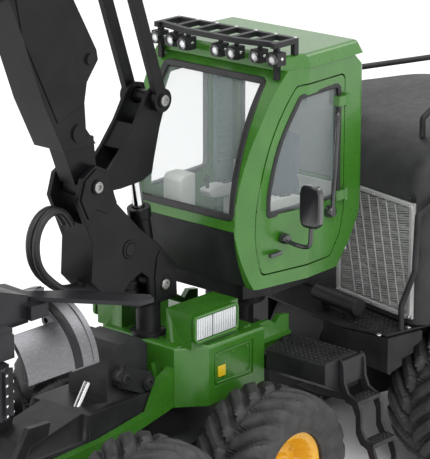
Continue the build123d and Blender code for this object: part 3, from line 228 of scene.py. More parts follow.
@dataclass(frozen=True)
class Moulded:
    """Satin moulded plastic with a fine spark-eroded grain and dusty patches."""

    name: str
    slot: Slot
    shade: Colour
    light: Colour
    roughness: float = 0.42
    grain_mm: float = 0.16
    depth_mm: float = 0.02
    edge_mm: float = 0.25
    shine: float = 0.28

    def make(self) -> bpy.types.Material:
        """Builds the material."""
        work = Shader(self.name)
        work.set(Specular_IOR_Level=self.shine)
        work.link(work.ramp(work.noise(6.0, 5.0), self.shade, self.light, 0.3, 0.75), "Base Color")
        work.link(work.span(work.noise(2.2, 3.0), self.roughness - 0.08, self.roughness + 0.12),
                  "Roughness")
        work.relief(work.noise(self.grain_mm, 2.0), self.depth_mm, 0.7, self.edge_mm)
        return work.material


@dataclass(frozen=True)
class Brushed:
    """Bare or chromed metal with fine lines along one axis."""

    name: str
    slot: Slot
    shade: Colour
    light: Colour
    roughness: float
    stretch: Point = (1.0, 1.0, 12.0)
    edge_mm: float = 0.2

    def make(self) -> bpy.types.Material:
        """Builds the material."""
        work = Shader(self.name)
        lines = work.noise(1.2, 4.0, self.stretch)
        work.link(work.ramp(lines, self.shade, self.light, 0.2, 0.8), "Base Color")
        work.link(work.span(lines, self.roughness - 0.05, self.roughness + 0.1), "Roughness")
        work.set(Metallic=1.0)
        work.relief(lines, 0.01, 0.35, self.edge_mm)
        return work.material


@dataclass(frozen=True)
class Rubber:
    """Matt moulded rubber with random patches of powdery bloom."""

    name: str
    slot: Slot
    shade: Colour
    bloom: Colour
    roughness: float = 0.62

    def make(self) -> bpy.types.Material:
        """Builds the material."""
        work = Shader(self.name)
        work.link(work.ramp(work.noise(3.4, 6.0), self.shade, self.bloom, 0.35, 0.8), "Base Color")
        work.link(work.span(work.noise(1.1, 3.0), self.roughness - 0.1, self.roughness + 0.15),
                  "Roughness")
        work.relief(work.noise(0.22, 3.0), 0.03, 0.8, 0.25)
        return work.material


@dataclass(frozen=True)
class Glazing:
    """Clear moulded glazing with a faint tint and soft flow marks."""

    name: str
    slot: Slot
    tint: Colour
    roughness: float = 0.03
    opacity: float = 0.13

    def make(self) -> bpy.types.Material:
        """Builds the material."""
        work = Shader(self.name)
        work.link(work.ramp(work.noise(30.0, 1.0), self.tint, tuple(min(1.0, c * 1.02) for c in self.tint)),
                  "Base Color")
        work.set(Roughness=self.roughness, IOR=1.45, Alpha=self.opacity)
        work.relief(work.noise(14.0, 0.0), 0.004, 0.1)
        return work.material


@dataclass(frozen=True)
class Reflector:
    """Ribbed clear lens over a silvered bowl, with painted shade in the troughs of its ribs."""

    name: str
    slot: Slot
    shade: Colour
    rib_mm: float
    axis: str

    def make(self) -> bpy.types.Material:
        """Builds the material."""
        work = Shader(self.name)
        ribs = work.waves(self.rib_mm, self.axis)
        # The colour is a tenth darker in each rib's trough than on its crest: painted shade that follows the
        # ribs.
        work.link(work.ramp(ribs, tuple(c * 0.9 for c in self.shade), self.shade, 0.1, 0.9), "Base Color")
        work.set(Metallic=0.35, Roughness=0.16, Coat_Weight=1.0, Coat_Roughness=0.03)
        work.relief(ribs, 0.12, 0.6)
        return work.material


@dataclass(frozen=True)
class Cloth:
    """Matt woven seat cover."""

    name: str
    slot: Slot
    shade: Colour
    light: Colour
    thread_mm: float = 0.45

    def make(self) -> bpy.types.Material:
        """Builds the material."""
        work = Shader(self.name)
        weave = work.join(work.waves(self.thread_mm, "Y"), work.waves(self.thread_mm, "Z"), "MULTIPLY")
        work.link(work.ramp(work.join(weave, work.noise(2.0, 4.0)), self.shade, self.light, 0.2, 1.2),
                  "Base Color")
        work.set(Roughness=0.8, Sheen_Weight=0.3, Sheen_Roughness=0.5)
        work.relief(weave, 0.05, 0.6)
        return work.material


GREEN = Enamel("green_enamel", Slot.PAINT, (0.030, 0.132, 0.010), (0.037, 0.155, 0.013),
               coat=0.35, edge_mm=0.0)
CHASSIS = Moulded("chassis_black", Slot.CHASSIS, (0.009, 0.009, 0.010), (0.022, 0.022, 0.024))
CRANE = Enamel("crane_black_enamel", Slot.CRANE, (0.003, 0.003, 0.0035), (0.007, 0.007, 0.008),
               roughness=0.33, coat=0.02, shine=0.16)
STEEL = Brushed("pin_steel", Slot.CHROME, (0.22, 0.22, 0.22), (0.42, 0.42, 0.41), 0.34)
HEAD = Enamel("head_black_enamel", Slot.HEAD, (0.008, 0.008, 0.010), (0.016, 0.016, 0.019),
              roughness=0.4, coat=0.08, shine=0.28)
HOOD = Moulded("hood_dark_grey", Slot.HOOD, (0.018, 0.018, 0.019), (0.034, 0.034, 0.036), 0.46)
GRILLE = Moulded("grille_matt_grey", Slot.GRILLE, (0.30, 0.30, 0.295), (0.42, 0.42, 0.415), 0.5)
FLOOR = Moulded("floor_light_grey", Slot.FLOOR, (0.62, 0.61, 0.58), (0.76, 0.75, 0.71), 0.5)
HOSE = Rubber("hose_black", Slot.HOSE, (0.006, 0.006, 0.007), (0.018, 0.018, 0.019), 0.45)
TYRE = Rubber("tyre_charcoal", Slot.TYRE, (0.016, 0.016, 0.017), (0.045, 0.044, 0.043), 0.6)
RIM = Enamel("rim_golden_yellow", Slot.RIM, (0.66, 0.33, 0.012), (0.78, 0.42, 0.02),
             roughness=0.3, coat=0.4)
CHROME = Brushed("rod_chromed", Slot.CHROME, (0.55, 0.55, 0.56), (0.8, 0.8, 0.8), 0.14)
KNIFE = Brushed("knife_satin_silver", Slot.KNIFE, (0.15, 0.15, 0.16), (0.27, 0.27, 0.28), 0.38,
                (1.0, 6.0, 6.0))
GLASS = Glazing("glazing_clear", Slot.GLAZING, (0.55, 0.62, 0.62))
LENS = Reflector("headlamp_ribbed", Slot.LENS, (0.62, 0.65, 0.66), 0.9, "X")
SEAT_CLOTH = Cloth("seat_dark_blue", Slot.SEAT, (0.018, 0.028, 0.055), (0.045, 0.065, 0.11))


class Finishes:
    """Every finish as a ready material, made once."""

    def __init__(self) -> None:
        """Starts with none made."""
        self.made: dict[str, bpy.types.Material] = {}

    def get(self, finish: object) -> bpy.types.Material:
        """Returns the finish's material, and makes it the first time."""
        if finish.name not in self.made:
            self.made[finish.name] = finish.make()
        return self.made[finish.name]


FINISHES = Finishes()


def report(piece: bpy.types.Object, body: str) -> None:
    """Logs one finished piece and the body that it rides on."""
    LOG.info("%s rides on %s with %d faces", piece.name, body, len(piece.data.polygons))


def add_piece(name: str, mesh: bpy.types.Mesh, body: str, finish: object,
              replaces: tuple[str, ...] = (), smooth_deg: float = 32.0) -> bpy.types.Object:
    """Puts a finished mesh into the scene as a piece.

    Args:
        name: The piece's name.
        mesh: Its mesh, already in place in metres.
        body: The CAD body that it rides on.
        finish: Its finish.
        replaces: CAD nodes that it stands for.
        smooth_deg: Edges sharper than this stay sharp.

    Returns:
        The piece.
    """
    mesh = evened(mesh, smooth_deg)
    mesh.name = name
    mesh.materials.clear()
    mesh.materials.append(FINISHES.get(finish))
    piece = bpy.data.objects.new(name, mesh)
    bpy.context.scene.collection.objects.link(piece)
    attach(piece, body)
    if replaces:
        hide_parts(*replaces)
    report(piece, body)
    return piece


def merged_copy(node: bpy.types.Object) -> bpy.types.Mesh:
    """Returns a copy of a CAD node's mesh, its triangles joined into whole faces."""
    work = bmesh.new()
    work.from_mesh(node.data)
    bmesh.ops.remove_doubles(work, verts=work.verts, dist=2e-6)
    bmesh.ops.dissolve_limit(work, angle_limit=math.radians(0.4), verts=work.verts, edges=work.edges,
                             use_dissolve_boundaries=False)
    mesh = bpy.data.meshes.new(node.name)
    work.to_mesh(mesh)
    work.free()
    return mesh


def evened(mesh: bpy.types.Mesh, smooth_deg: float) -> bpy.types.Mesh:
    """Shades a mesh so that its large faces stay flat beside rounded edges.

    Args:
        mesh: The mesh, which is used up.
        smooth_deg: Edges sharper than this stay sharp.

    Returns:
        The shaded mesh.
    """
    mesh.shade_smooth()
    mesh.set_sharp_from_angle(angle=math.radians(smooth_deg))
    holder = bpy.data.objects.new("shading", mesh)
    bpy.context.scene.collection.objects.link(holder)
    modifier = holder.modifiers.new("weights", "WEIGHTED_NORMAL")
    modifier.keep_sharp = True
    modifier.weight = 50
    ready = holder.evaluated_get(bpy.context.evaluated_depsgraph_get())
    shaded = bpy.data.meshes.new_from_object(ready)
    bpy.data.objects.remove(holder)
    bpy.data.meshes.remove(mesh)
    return shaded


@dataclass
class Dressing:
    """Smooth-shaded skins for the CAD nodes whose shapes are right as they are."""

    frame: dict
    plan: dict[str, object] = field(default_factory=lambda: {
        "front_frame": CHASSIS, "rear_frame": CHASSIS, "rear_deck": CHASSIS, "step_boxes": CHASSIS,
        "access_ladder": CHASSIS, "side_boxes": CHASSIS, "crane_post": CHASSIS,
        "cab_base": CHASSIS, "cab_nose": CHASSIS, "handrails": CHASSIS, "light_rack": CHASSIS,
        "door_fittings": CHASSIS, "front_cowl": GREEN, "cab_shell": GREEN, "door": GREEN,
        "headlamps": LENS, "cab_windows": GLASS, "door_window": GLASS, "hood": HOOD,
        "radiator_grille": GRILLE, "cab_floor": FLOOR, "consoles": FLOOR, "seat": SEAT_CLOTH,
        "crane_pillar": CRANE, "main_boom": CRANE, "lever": CRANE, "link_bars": CRANE,
        "lift_barrel": CRANE, "jib": CRANE, "jib_extension": CRANE, "crosshead": CRANE,
        "rotator": CRANE, "lift_rod": CHROME, "crane_hoses": HOSE, "head_frame": HEAD,
        "roller_left": HEAD, "roller_right": HEAD, "knife_left": KNIFE, "knife_right": KNIFE,
    })

    def finish_of(self, node: str) -> object:
        """Returns the finish that a node gets."""
        for start, finish in (("tyre_", TYRE), ("rim_", RIM), ("bogie_", CHASSIS)):
            if node.startswith(start):
                return finish
        return self.plan[node]

    def build(self, skipped: set[str]) -> None:
        """Makes a skin for each node that no other piece stands for."""
        for name, node in self.frame["nodes"].items():
            if name not in skipped:
                add_piece(name + "_skin", merged_copy(node), node["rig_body"],
                          self.finish_of(name), (name,))


@dataclass
class Studio:
    """Pale floor, soft light and the camera at the photograph's angle."""

    target: Point = (18.5 * MM, -0.8 * MM, 78.3 * MM)
    distance: float = 0.658
    azimuth_deg: float = 41.5
    elevation_deg: float = 16.9
    lens_mm: float = 196.1
    sensor_mm: float = 36.0

    def direction(self) -> Vector:
        """Returns the direction from the target to the camera."""
        turn, rise = math.radians(self.azimuth_deg), math.radians(self.elevation_deg)
        return Vector((math.cos(turn) * math.cos(rise), math.sin(turn) * math.cos(rise), math.sin(rise)))

    def camera(self) -> None:
        """Makes the camera and sets it as the scene's."""
        data = bpy.data.cameras.new("camera")
        data.sensor_fit = "VERTICAL"
        data.sensor_height = self.sensor_mm
        data.lens = self.lens_mm
        data.clip_start = 0.01
        data.clip_end = 20.0
        eye = bpy.data.objects.new("camera", data)
        eye.location = Vector(self.target) + self.direction() * self.distance
        eye.rotation_euler = (-self.direction()).to_track_quat("-Z", "Y").to_euler()
        bpy.context.scene.collection.objects.link(eye)
        bpy.context.scene.camera = eye

    def softbox(self, name: str, place: Point, size: float, power: float) -> None:
        """Adds a square area light that faces the model."""
        data = bpy.data.lights.new(name, "AREA")
        data.size = size
        data.energy = power
        lamp = bpy.data.objects.new(name, data)
        lamp.location = place
        lamp.rotation_euler = (Vector(place) - Vector(self.target)).to_track_quat("Z", "Y").to_euler()
        bpy.context.scene.collection.objects.link(lamp)

    def floor(self) -> None:
        """Lays the pale floor, wide enough to fill every view."""
        reach = 6.0
        mesh = bpy.data.meshes.new("studio_floor")
        mesh.from_pydata([(-reach, -reach, 0), (reach, -reach, 0), (reach, reach, 0), (-reach, reach, 0)],
                         [], [(0, 1, 2, 3)])
        work = Shader("studio_floor")
        work.set(Base_Color=(0.9, 0.9, 0.9, 1), Roughness=0.9)
        mesh.materials.append(work.material)
        ground = bpy.data.objects.new("studio_floor", mesh)
        bpy.context.scene.collection.objects.link(ground)

    def world(self) -> None:
        """Sets the even white surroundings."""
        world = bpy.data.worlds.new("studio_world")
        world.use_nodes = True
        world.node_tree.nodes["Background"].inputs["Color"].default_value = (1, 1, 1, 1)
        world.node_tree.nodes["Background"].inputs["Strength"].default_value = 1.05
        bpy.context.scene.world = world
        bpy.context.scene.view_settings.view_transform = "Standard"

    def build(self) -> None:
        """Builds the whole studio."""
        self.camera()
        self.floor()
        self.world()
        self.softbox("key_light", (0.5, 0.9, 1.1), 0.8, 9.0)
        self.softbox("fill_light", (1.2, -0.5, 0.6), 0.9, 3.5)
        self.softbox("rim_light", (-0.9, 0.4, 1.0), 0.7, 4.0)


def ring_loop(points: list[Vector], closed: bool) -> list[tuple[Vector, Vector]]:
    """Pairs each point of a path with the direction that the path has there."""
    count = len(points)
    pairs = []
    for number, point in enumerate(points):
        before = points[number - 1] if number or closed else point
        after = points[(number + 1) % count] if number < count - 1 or closed else point
        pairs.append((point, (after - before).normalized()))
    return pairs


def swept(points: list[Vector], section: list[tuple[float, float]], face: Vector,
          closed: bool = True) -> bpy.types.Mesh:
    """Sweeps a closed section along a path.

    Args:
        points: The path, in metres.
        section: The section's corners as (inwards, outwards) steps, in millimetres.
        face: The direction that the section's second step follows.
        closed: Whether the path joins up with its start.

    Returns:
        A closed mesh.
    """
    verts, faces = [], []
    count = len(section)
    for point, along in ring_loop(points, closed):
        side = face.cross(along).normalized()
        lift = along.cross(side).normalized()
        verts += [point + (side * a + lift * b) * MM for a, b in section]
    rings = len(points)
    for ring in range(rings if closed else rings - 1):
        after = (ring + 1) % rings
        for step in range(count):
            ahead = (step + 1) % count
            faces.append((ring * count + step, after * count + step, after * count + ahead,
                          ring * count + ahead))
    if not closed:
        faces.append(tuple(range(count)))
        faces.append(tuple(reversed(range((rings - 1) * count, rings * count))))
    return outward(verts, faces)


def outward(verts: list[Vector], faces: list[tuple[int, ...]]) -> bpy.types.Mesh:
    """Builds a mesh whose faces all point outwards."""
    mesh = bpy.data.meshes.new("form")
    mesh.from_pydata([tuple(v) for v in verts], [], faces)
    work = bmesh.new()
    work.from_mesh(mesh)
    bmesh.ops.remove_doubles(work, verts=work.verts, dist=1e-7)
    bmesh.ops.recalc_face_normals(work, faces=work.faces)
    work.to_mesh(mesh)
    work.free()
    return mesh


def round_section(radius: float, steps: int = 12) -> list[tuple[float, float]]:
    """Returns a circle as a section."""
    return [(radius * math.cos(2 * math.pi * s / steps), radius * math.sin(2 * math.pi * s / steps))
            for s in range(steps)]


def strip_section(width: float, height: float, soft: float) -> list[tuple[float, float]]:
    """Returns a rectangle with softened corners as a section."""
    points = []
    for across, up, start in ((1, 1, 0), (-1, 1, 90), (-1, -1, 180), (1, -1, 270)):
        for step in range(4):
            turn = math.radians(start + step * 30)
            points.append((across * (width / 2 - soft) + soft * math.cos(turn),
                           up * (height / 2 - soft) + soft * math.sin(turn)))
    return points


def rounded_path(corner_points: list[Point], radius: float, steps: int = 6) -> list[Vector]:
    """Rounds the corners of a closed polygon in space.

    Args:
        corner_points: The polygon's corners, in millimetres.
        radius: How far from each corner its rounding starts, in millimetres.
        steps: Points on each rounding.

    Returns:
        The path's points, in metres.
    """
    corners_v = [Vector(p) * MM for p in corner_points]
    reach = radius * MM
    path = []
    for number, corner in enumerate(corners_v):
        before = corners_v[number - 1]
        after = corners_v[(number + 1) % len(corners_v)]
        start = corner + (before - corner).normalized() * min(reach, (before - corner).length * 0.45)
        end = corner + (after - corner).normalized() * min(reach, (after - corner).length * 0.45)
        for step in range(steps + 1):
            share = step / steps
            path.append(start * (1 - share) ** 2 + corner * 2 * share * (1 - share) + end * share ** 2)
    return path


def turned(profile: list[tuple[float, float]], centre: Vector, axis: Vector,
           steps: int = 32) -> bpy.types.Mesh:
    """Turns a profile about an axis.

    Args:
        profile: (along, radius) steps in metres. It starts and ends on the axis.
        centre: The origin of the profile.
        axis: The axis, whose length doesn't matter.
        steps: Faces round the axis.

    Returns:
        A closed mesh.
    """
    along = axis.normalized()
    side = along.orthogonal().normalized()
    lift = along.cross(side)
    verts, faces = [], []
    for reach, radius in profile:
        for step in range(steps):
            turn = 2 * math.pi * step / steps
            verts.append(centre + along * reach
                         + (side * math.cos(turn) + lift * math.sin(turn)) * max(radius, 1e-9))
    for ring in range(len(profile) - 1):
        for step in range(steps):
            ahead = (step + 1) % steps
            faces.append((ring * steps + step, ring * steps + ahead, (ring + 1) * steps + ahead,
                          (ring + 1) * steps + step))
    return outward(verts, faces)


def soft_block(low: Point, high: Point, soft: float, turn_deg: float = 0.0,
               segments: int = 3) -> bpy.types.Mesh:
    """Builds a block with rounded edges.

    Args:
        low: Its lowest corner, in millimetres.
        high: Its highest corner, in millimetres.
        soft: Radius of its edges, in millimetres.
        turn_deg: Turn about the vertical through its middle.
        segments: Faces across each rounded edge.

    Returns:
        A closed mesh, in place.
    """
    work = bmesh.new()
    bmesh.ops.create_cube(work, size=1.0)
    size = Vector(high) - Vector(low)
    middle = (Vector(high) + Vector(low)) / 2
    bmesh.ops.scale(work, vec=size, verts=work.verts)
    bmesh.ops.bevel(work, geom=list(work.edges), offset=soft, segments=segments, profile=0.5,
                    affect="EDGES")
    bmesh.ops.rotate(work, cent=(0, 0, 0), verts=work.verts,
                     matrix=Matrix.Rotation(math.radians(turn_deg), 3, "Z"))
    bmesh.ops.translate(work, vec=middle, verts=work.verts)
    bmesh.ops.scale(work, vec=(MM, MM, MM), verts=work.verts)
    mesh = bpy.data.meshes.new("block")
    work.to_mesh(mesh)
    work.free()
    return mesh


def united(meshes: list[bpy.types.Mesh]) -> bpy.types.Mesh:
    """Joins several meshes into one and drops the originals."""
    work = bmesh.new()
    for mesh in meshes:
        work.from_mesh(mesh)
    whole = bpy.data.meshes.new("united")
    work.to_mesh(whole)
    work.free()
    for mesh in meshes:
        bpy.data.meshes.remove(mesh)
    return whole


@dataclass(frozen=True)
class Site:
    """A place for one fastening: where it sits, where its head points and how large it is."""

    at: Point
    aim: Point
    size: float = 1.0


def stud_mesh(radius: float, height: float, socket: float = 0.0, steps: int = 24) -> bpy.types.Mesh:
    """Builds a rounded stud head that points up, with a hexagonal socket if one is given.

    Args:
        radius: Radius of the head, in millimetres.
        height: Its height, in millimetres.
        socket: Radius of the socket's corners, or 0 for a plain dome.
        steps: Faces round the head.

    Returns:
        A closed mesh about the origin, in metres.
    """
    def ring(reach: float, level: float, hexagon: bool = False) -> list[Vector]:
        """Returns one ring of points, round or hexagonal."""
        points = []
        for step in range(steps):
            turn = 2 * math.pi * step / steps
            out = reach
            if hexagon:
                out = reach * math.cos(math.pi / 6) / math.cos((turn % (math.pi / 3)) - math.pi / 6)
            points.append(Vector((out * math.cos(turn), out * math.sin(turn), level)) * MM)
        return points

    rings = [ring(radius, -0.15), ring(radius, height * 0.55), ring(radius * 0.93, height * 0.85),
             ring(radius * 0.8, height)]
    if socket:
        rings += [ring(socket, height, True), ring(socket, height * 0.1, True)]
        middle = Vector((0, 0, height * 0.1)) * MM
    else:
        rings.append(ring(radius * 0.45, height * 1.12))
        middle = Vector((0, 0, height * 1.16)) * MM
    verts = [point for points in rings for point in points] + [middle]
    faces = [tuple(reversed(range(steps)))]
    for level in range(len(rings) - 1):
        for step in range(steps):
            ahead = (step + 1) % steps
            faces.append((level * steps + step, level * steps + ahead,
                          (level + 1) * steps + ahead, (level + 1) * steps + step))
    last = (len(rings) - 1) * steps
    faces += [(last + step, last + (step + 1) % steps, len(verts) - 1) for step in range(steps)]
    return outward(verts, faces)


def spread(name: str, form: bpy.types.Mesh, sites: list[Site], body: str, finish: object,
           smooth_deg: float = 32.0) -> bpy.types.Object:
    """Sets copies of a small form on many places with Geometry Nodes, as one plain piece.

    Args:
        name: The piece's name.
        form: The form to repeat, about the origin and pointing up.
        sites: The places, in millimetres in the frame.
        body: The CAD body that they ride on.
        finish: Their finish.
        smooth_deg: Edges sharper than this stay sharp.

    Returns:
        The piece.
    """
    pattern = bpy.data.objects.new(name + "_form", form)
    bpy.context.scene.collection.objects.link(pattern)
    points = bpy.data.meshes.new(name + "_sites")
    points.from_pydata([tuple(Vector(s.at) * MM) for s in sites], [], [])
    points.attributes.new("aim", "FLOAT_VECTOR", "POINT")
    points.attributes.new("size", "FLOAT", "POINT")
    for number, site in enumerate(sites):
        points.attributes["aim"].data[number].vector = site.aim
        points.attributes["size"].data[number].value = site.size
    carrier = bpy.data.objects.new(name + "_carrier", points)
    bpy.context.scene.collection.objects.link(carrier)

    tree = bpy.data.node_groups.new(name + "_tree", "GeometryNodeTree")
    sockets = tree.interface
    sockets.new_socket("Geometry", in_out="INPUT", socket_type="NodeSocketGeometry")
    form_input = sockets.new_socket("Form", in_out="INPUT", socket_type="NodeSocketObject")
    size_input = sockets.new_socket("Size", in_out="INPUT", socket_type="NodeSocketFloat")
    look_input = sockets.new_socket("Finish", in_out="INPUT", socket_type="NodeSocketMaterial")
    sockets.new_socket("Geometry", in_out="OUTPUT", socket_type="NodeSocketGeometry")
    nodes, links = tree.nodes, tree.links
    entry, result = nodes.new("NodeGroupInput"), nodes.new("NodeGroupOutput")
    source = nodes.new("GeometryNodeObjectInfo")
    place = nodes.new("GeometryNodeInstanceOnPoints")
    turn = nodes.new("FunctionNodeAlignRotationToVector")
    turn.axis = "Z"
    aim_node = nodes.new("GeometryNodeInputNamedAttribute")
    size_node = nodes.new("GeometryNodeInputNamedAttribute")
    aim_node.data_type = "FLOAT_VECTOR"
    aim_node.inputs["Name"].default_value = "aim"
    size_node.data_type = "FLOAT"
    size_node.inputs["Name"].default_value = "size"
    scale = nodes.new("ShaderNodeMath")
    scale.operation = "MULTIPLY"
    real, look = nodes.new("GeometryNodeRealizeInstances"), nodes.new("GeometryNodeSetMaterial")
    links.new(entry.outputs["Form"], source.inputs["Object"])
    links.new(entry.outputs["Geometry"], place.inputs["Points"])
    links.new(source.outputs["Geometry"], place.inputs["Instance"])
    links.new(aim_node.outputs["Attribute"], turn.inputs["Vector"])
    links.new(turn.outputs["Rotation"], place.inputs["Rotation"])
    links.new(size_node.outputs["Attribute"], scale.inputs[0])
    links.new(entry.outputs["Size"], scale.inputs[1])
    links.new(scale.outputs["Value"], place.inputs["Scale"])
    links.new(place.outputs["Instances"], real.inputs["Geometry"])
    links.new(real.outputs["Geometry"], look.inputs["Geometry"])
    links.new(entry.outputs["Finish"], look.inputs["Material"])
    links.new(look.outputs["Geometry"], result.inputs["Geometry"])

    modifier = carrier.modifiers.new("spread", "NODES")
    modifier.node_group = tree
    modifier[form_input.identifier] = pattern
    modifier[size_input.identifier] = 1.0
    modifier[look_input.identifier] = FINISHES.get(finish)
    ready = carrier.evaluated_get(bpy.context.evaluated_depsgraph_get())
    mesh = bpy.data.meshes.new_from_object(ready)
    for attribute in ("aim", "size"):
        if attribute in mesh.attributes:
            mesh.attributes.remove(mesh.attributes[attribute])
    carrier.modifiers.remove(modifier)
    bpy.data.objects.remove(carrier)
    bpy.data.objects.remove(pattern)
    return add_piece(name, mesh, body, finish, smooth_deg=smooth_deg)


def moved(x: float, y: float, z: float) -> Point:
    """Moves a point of the front of the machine, in millimetres, into the frame."""
    return (x + 33.8, y - 10.8, z)


def swung(x: float, y: float, z: float) -> Point:
    """Moves a point of the rear body, as it stands straight, into the frame."""
    reach, side = x + 46.0, y
    return moved(-46.0 + 0.97742 * reach + 0.21132 * side, -0.21132 * reach + 0.97742 * side, z)


def swung_aim(x: float, y: float, z: float = 0.0) -> Point:
    """Turns a direction of the rear body to its angle at rest."""
    return (0.97742 * x + 0.21132 * y, -0.21132 * x + 0.97742 * y, z)


def slab(outline: list[tuple[float, float]], y_low: float, y_high: float, soft: float) -> bpy.types.Mesh:
    """Builds a plate from an (x, z) outline of the machine, with softened edges.

    Args:
        outline: Its corners, in millimetres.
        y_low: Its lower side, across the machine.
        y_high: Its upper side.
        soft: Width of the softened edges.

    Returns:
        A closed mesh in place.
    """
    count = len(outline)
    verts = [Vector(moved(x, y, z)) * MM for y in (y_low, y_high) for x, z in outline]
    faces = [tuple(range(count)), tuple(reversed(range(count, 2 * count)))]
    faces += [(s, (s + 1) % count, count + (s + 1) % count, count + s) for s in range(count)]
    mesh = outward(verts, faces)
    work = bmesh.new()
    work.from_mesh(mesh)
    bmesh.ops.bevel(work, geom=list(work.edges), offset=soft * MM, segments=2, profile=0.5,
                    affect="EDGES", clamp_overlap=True)
    work.to_mesh(mesh)
    work.free()
    return mesh


def pad_form(width: float, length: float, height: float) -> bpy.types.Mesh:
    """Builds a small soft-edged pad about the origin that points up."""
    return soft_block((-width / 2, -length / 2, -0.1), (width / 2, length / 2, height),
                      min(width, length, height) * 0.3, segments=2)


@dataclass
class Wheels:
    """Eight tyres with curved overlapping lugs, on dished golden rims."""

    frame: dict
    radius: float = 21.0 * MM
    half_width: float = 11.0 * MM
    bead: float = 10.6 * MM
    carcass: float = 18.9 * MM
    lugs: int = 20
    rings: int = 160
    lug_share: float = 0.56
    sweep_deg: float = 17.0

    def profile(self) -> list[tuple[float, float]]:
        """Returns the carcass section as (across, radius), from one bead to the other."""
        steps = []
        for number in range(25):
            turn = math.pi * (number / 24 - 0.5)
            across = math.sin(turn)
            bulge = math.cos(turn)
            steps.append((across, bulge))
        points = []
        for across, bulge in steps:
            width = self.half_width * math.copysign(abs(across) ** 0.55, across)
            radius = self.bead + (self.carcass - self.bead) * bulge ** 0.38
            points.append((width, radius))
        return points

    def lug_height(self, across: float, turn: float) -> float:
        """Returns how far the lugs stand above the carcass.

        Args:
            across: Place across the tread, from -1 to 1.
            turn: Place round the tyre, in radians.

        Returns:
            A share of the full height, from 0 to 1.
        """
        side = 1.0 if across > 0 else -1.0
        reach = abs(across)
        bend = math.radians(self.sweep_deg) * (1.0 - reach) ** 1.3 * 1.6
        phase = (turn + bend + (math.pi / self.lugs if side > 0 else 0.0)) * self.lugs / (2 * math.pi)
        place = abs((phase % 1.0) - 0.5) * 2.0
        edge = 1.0 - min(1.0, max(0.0, (place - self.lug_share) / 0.16))
        start = min(1.0, max(0.0, (reach - 0.03) / 0.07))
        end = 1.0 - min(1.0, max(0.0, (reach - 0.93) / 0.07))
        return edge * edge * (3 - 2 * edge) * start * end

    def tyre_mesh(self, centre: Vector, axle: Vector) -> bpy.types.Mesh:
        """Builds one tyre.

        Args:
            centre: The wheel's centre.
            axle: Direction of the axle, outwards.

        Returns:
            The closed mesh, in place.
        """
        up = Vector((0, 0, 1))
        ahead = axle.cross(up).normalized()
        section = self.dense_section()
        verts, faces = [], []
        for ring in range(self.rings * 2):
            turn = ring * math.pi / self.rings
            out = ahead * math.cos(turn) + up * math.sin(turn)
            for width, radius, tread in section:
                rise = 0.0
                if tread:
                    full = self.radius - 0.25 * MM - self.carcass
                    shoulder = 1.0 - 0.35 * max(0.0, abs(width / self.half_width) - 0.72) / 0.28
                    rise = full * self.lug_height(width / self.half_width, turn) * shoulder
                verts.append(centre + axle * width + out * (radius + rise))
        count = len(section)
        rings = self.rings * 2
        for ring in range(rings):
            after = (ring + 1) % rings
            for step in range(count):
                ahead_step = (step + 1) % count
                faces.append((ring * count + step, after * count + step,
                              after * count + ahead_step, ring * count + ahead_step))
        mesh = bpy.data.meshes.new("tyre")
        mesh.from_pydata(verts, [], faces)
        work = bmesh.new()
        work.from_mesh(mesh)
        bmesh.ops.recalc_face_normals(work, faces=work.faces)
        work.to_mesh(mesh)
        work.free()
        return mesh

    def dense_section(self) -> list[tuple[float, float, bool]]:
        """Returns the whole closed section as (across, radius, carries lugs)."""
        section = []
        shoulder = 0.985
        for number in range(27):
            across = -1 + 2 * number / 26
            crown = self.carcass - 1.5 * MM * abs(across) ** 3.2
            section.append((across * self.half_width * shoulder, crown, True))
        side = ((10.95, 16.2), (11.0, 14.8), (10.8, 13.4), (10.2, 12.2), (9.6, 11.6), (9.3, 11.2),
                (9.2, 10.6))
        section += [(w * MM, r * MM, False) for w, r in side]
        section += [(-w * MM, r * MM, False) for w, r in reversed(side)]
        return section

    def build(self) -> set[str]:
        """Makes the tyres and returns the nodes that they stand for."""
        done = set()
        for joint in self.frame["joints"]:
            if not joint["name"].startswith("spin_"):
                continue
            place = joint["name"][len("spin_"):]
            centre = Vector(joint["pos_m"])
            axle = Vector(joint["axis"]).normalized()
            node = "tyre_" + place
            add_piece("tyre_tread_" + place, self.tyre_mesh(centre, axle), joint["child"], TYRE,
                      (node,), 50.0)
            done.add(node)
        return done


def smooth_line(points: list[tuple[float, float]], steps: int = 6) -> list[tuple[float, float]]:
    """Runs a smooth line through points in a plane, with steps pieces between two of them."""
    line = []
    count = len(points)
    for number in range(count - 1):
        p0, p1, p2, p3 = (points[max(0, number - 1)], points[number], points[number + 1],
                          points[min(count - 1, number + 2)])
        for step in range(steps):
            t = step / steps
            line.append(tuple(0.5 * (2 * b + (c - a) * t + (2 * a - 5 * b + 4 * c - d) * t * t
                                     + (3 * b - a - 3 * c + d) * t ** 3)
                              for a, b, c, d in zip(p0, p1, p2, p3)))
    line.append(points[-1])
    return line


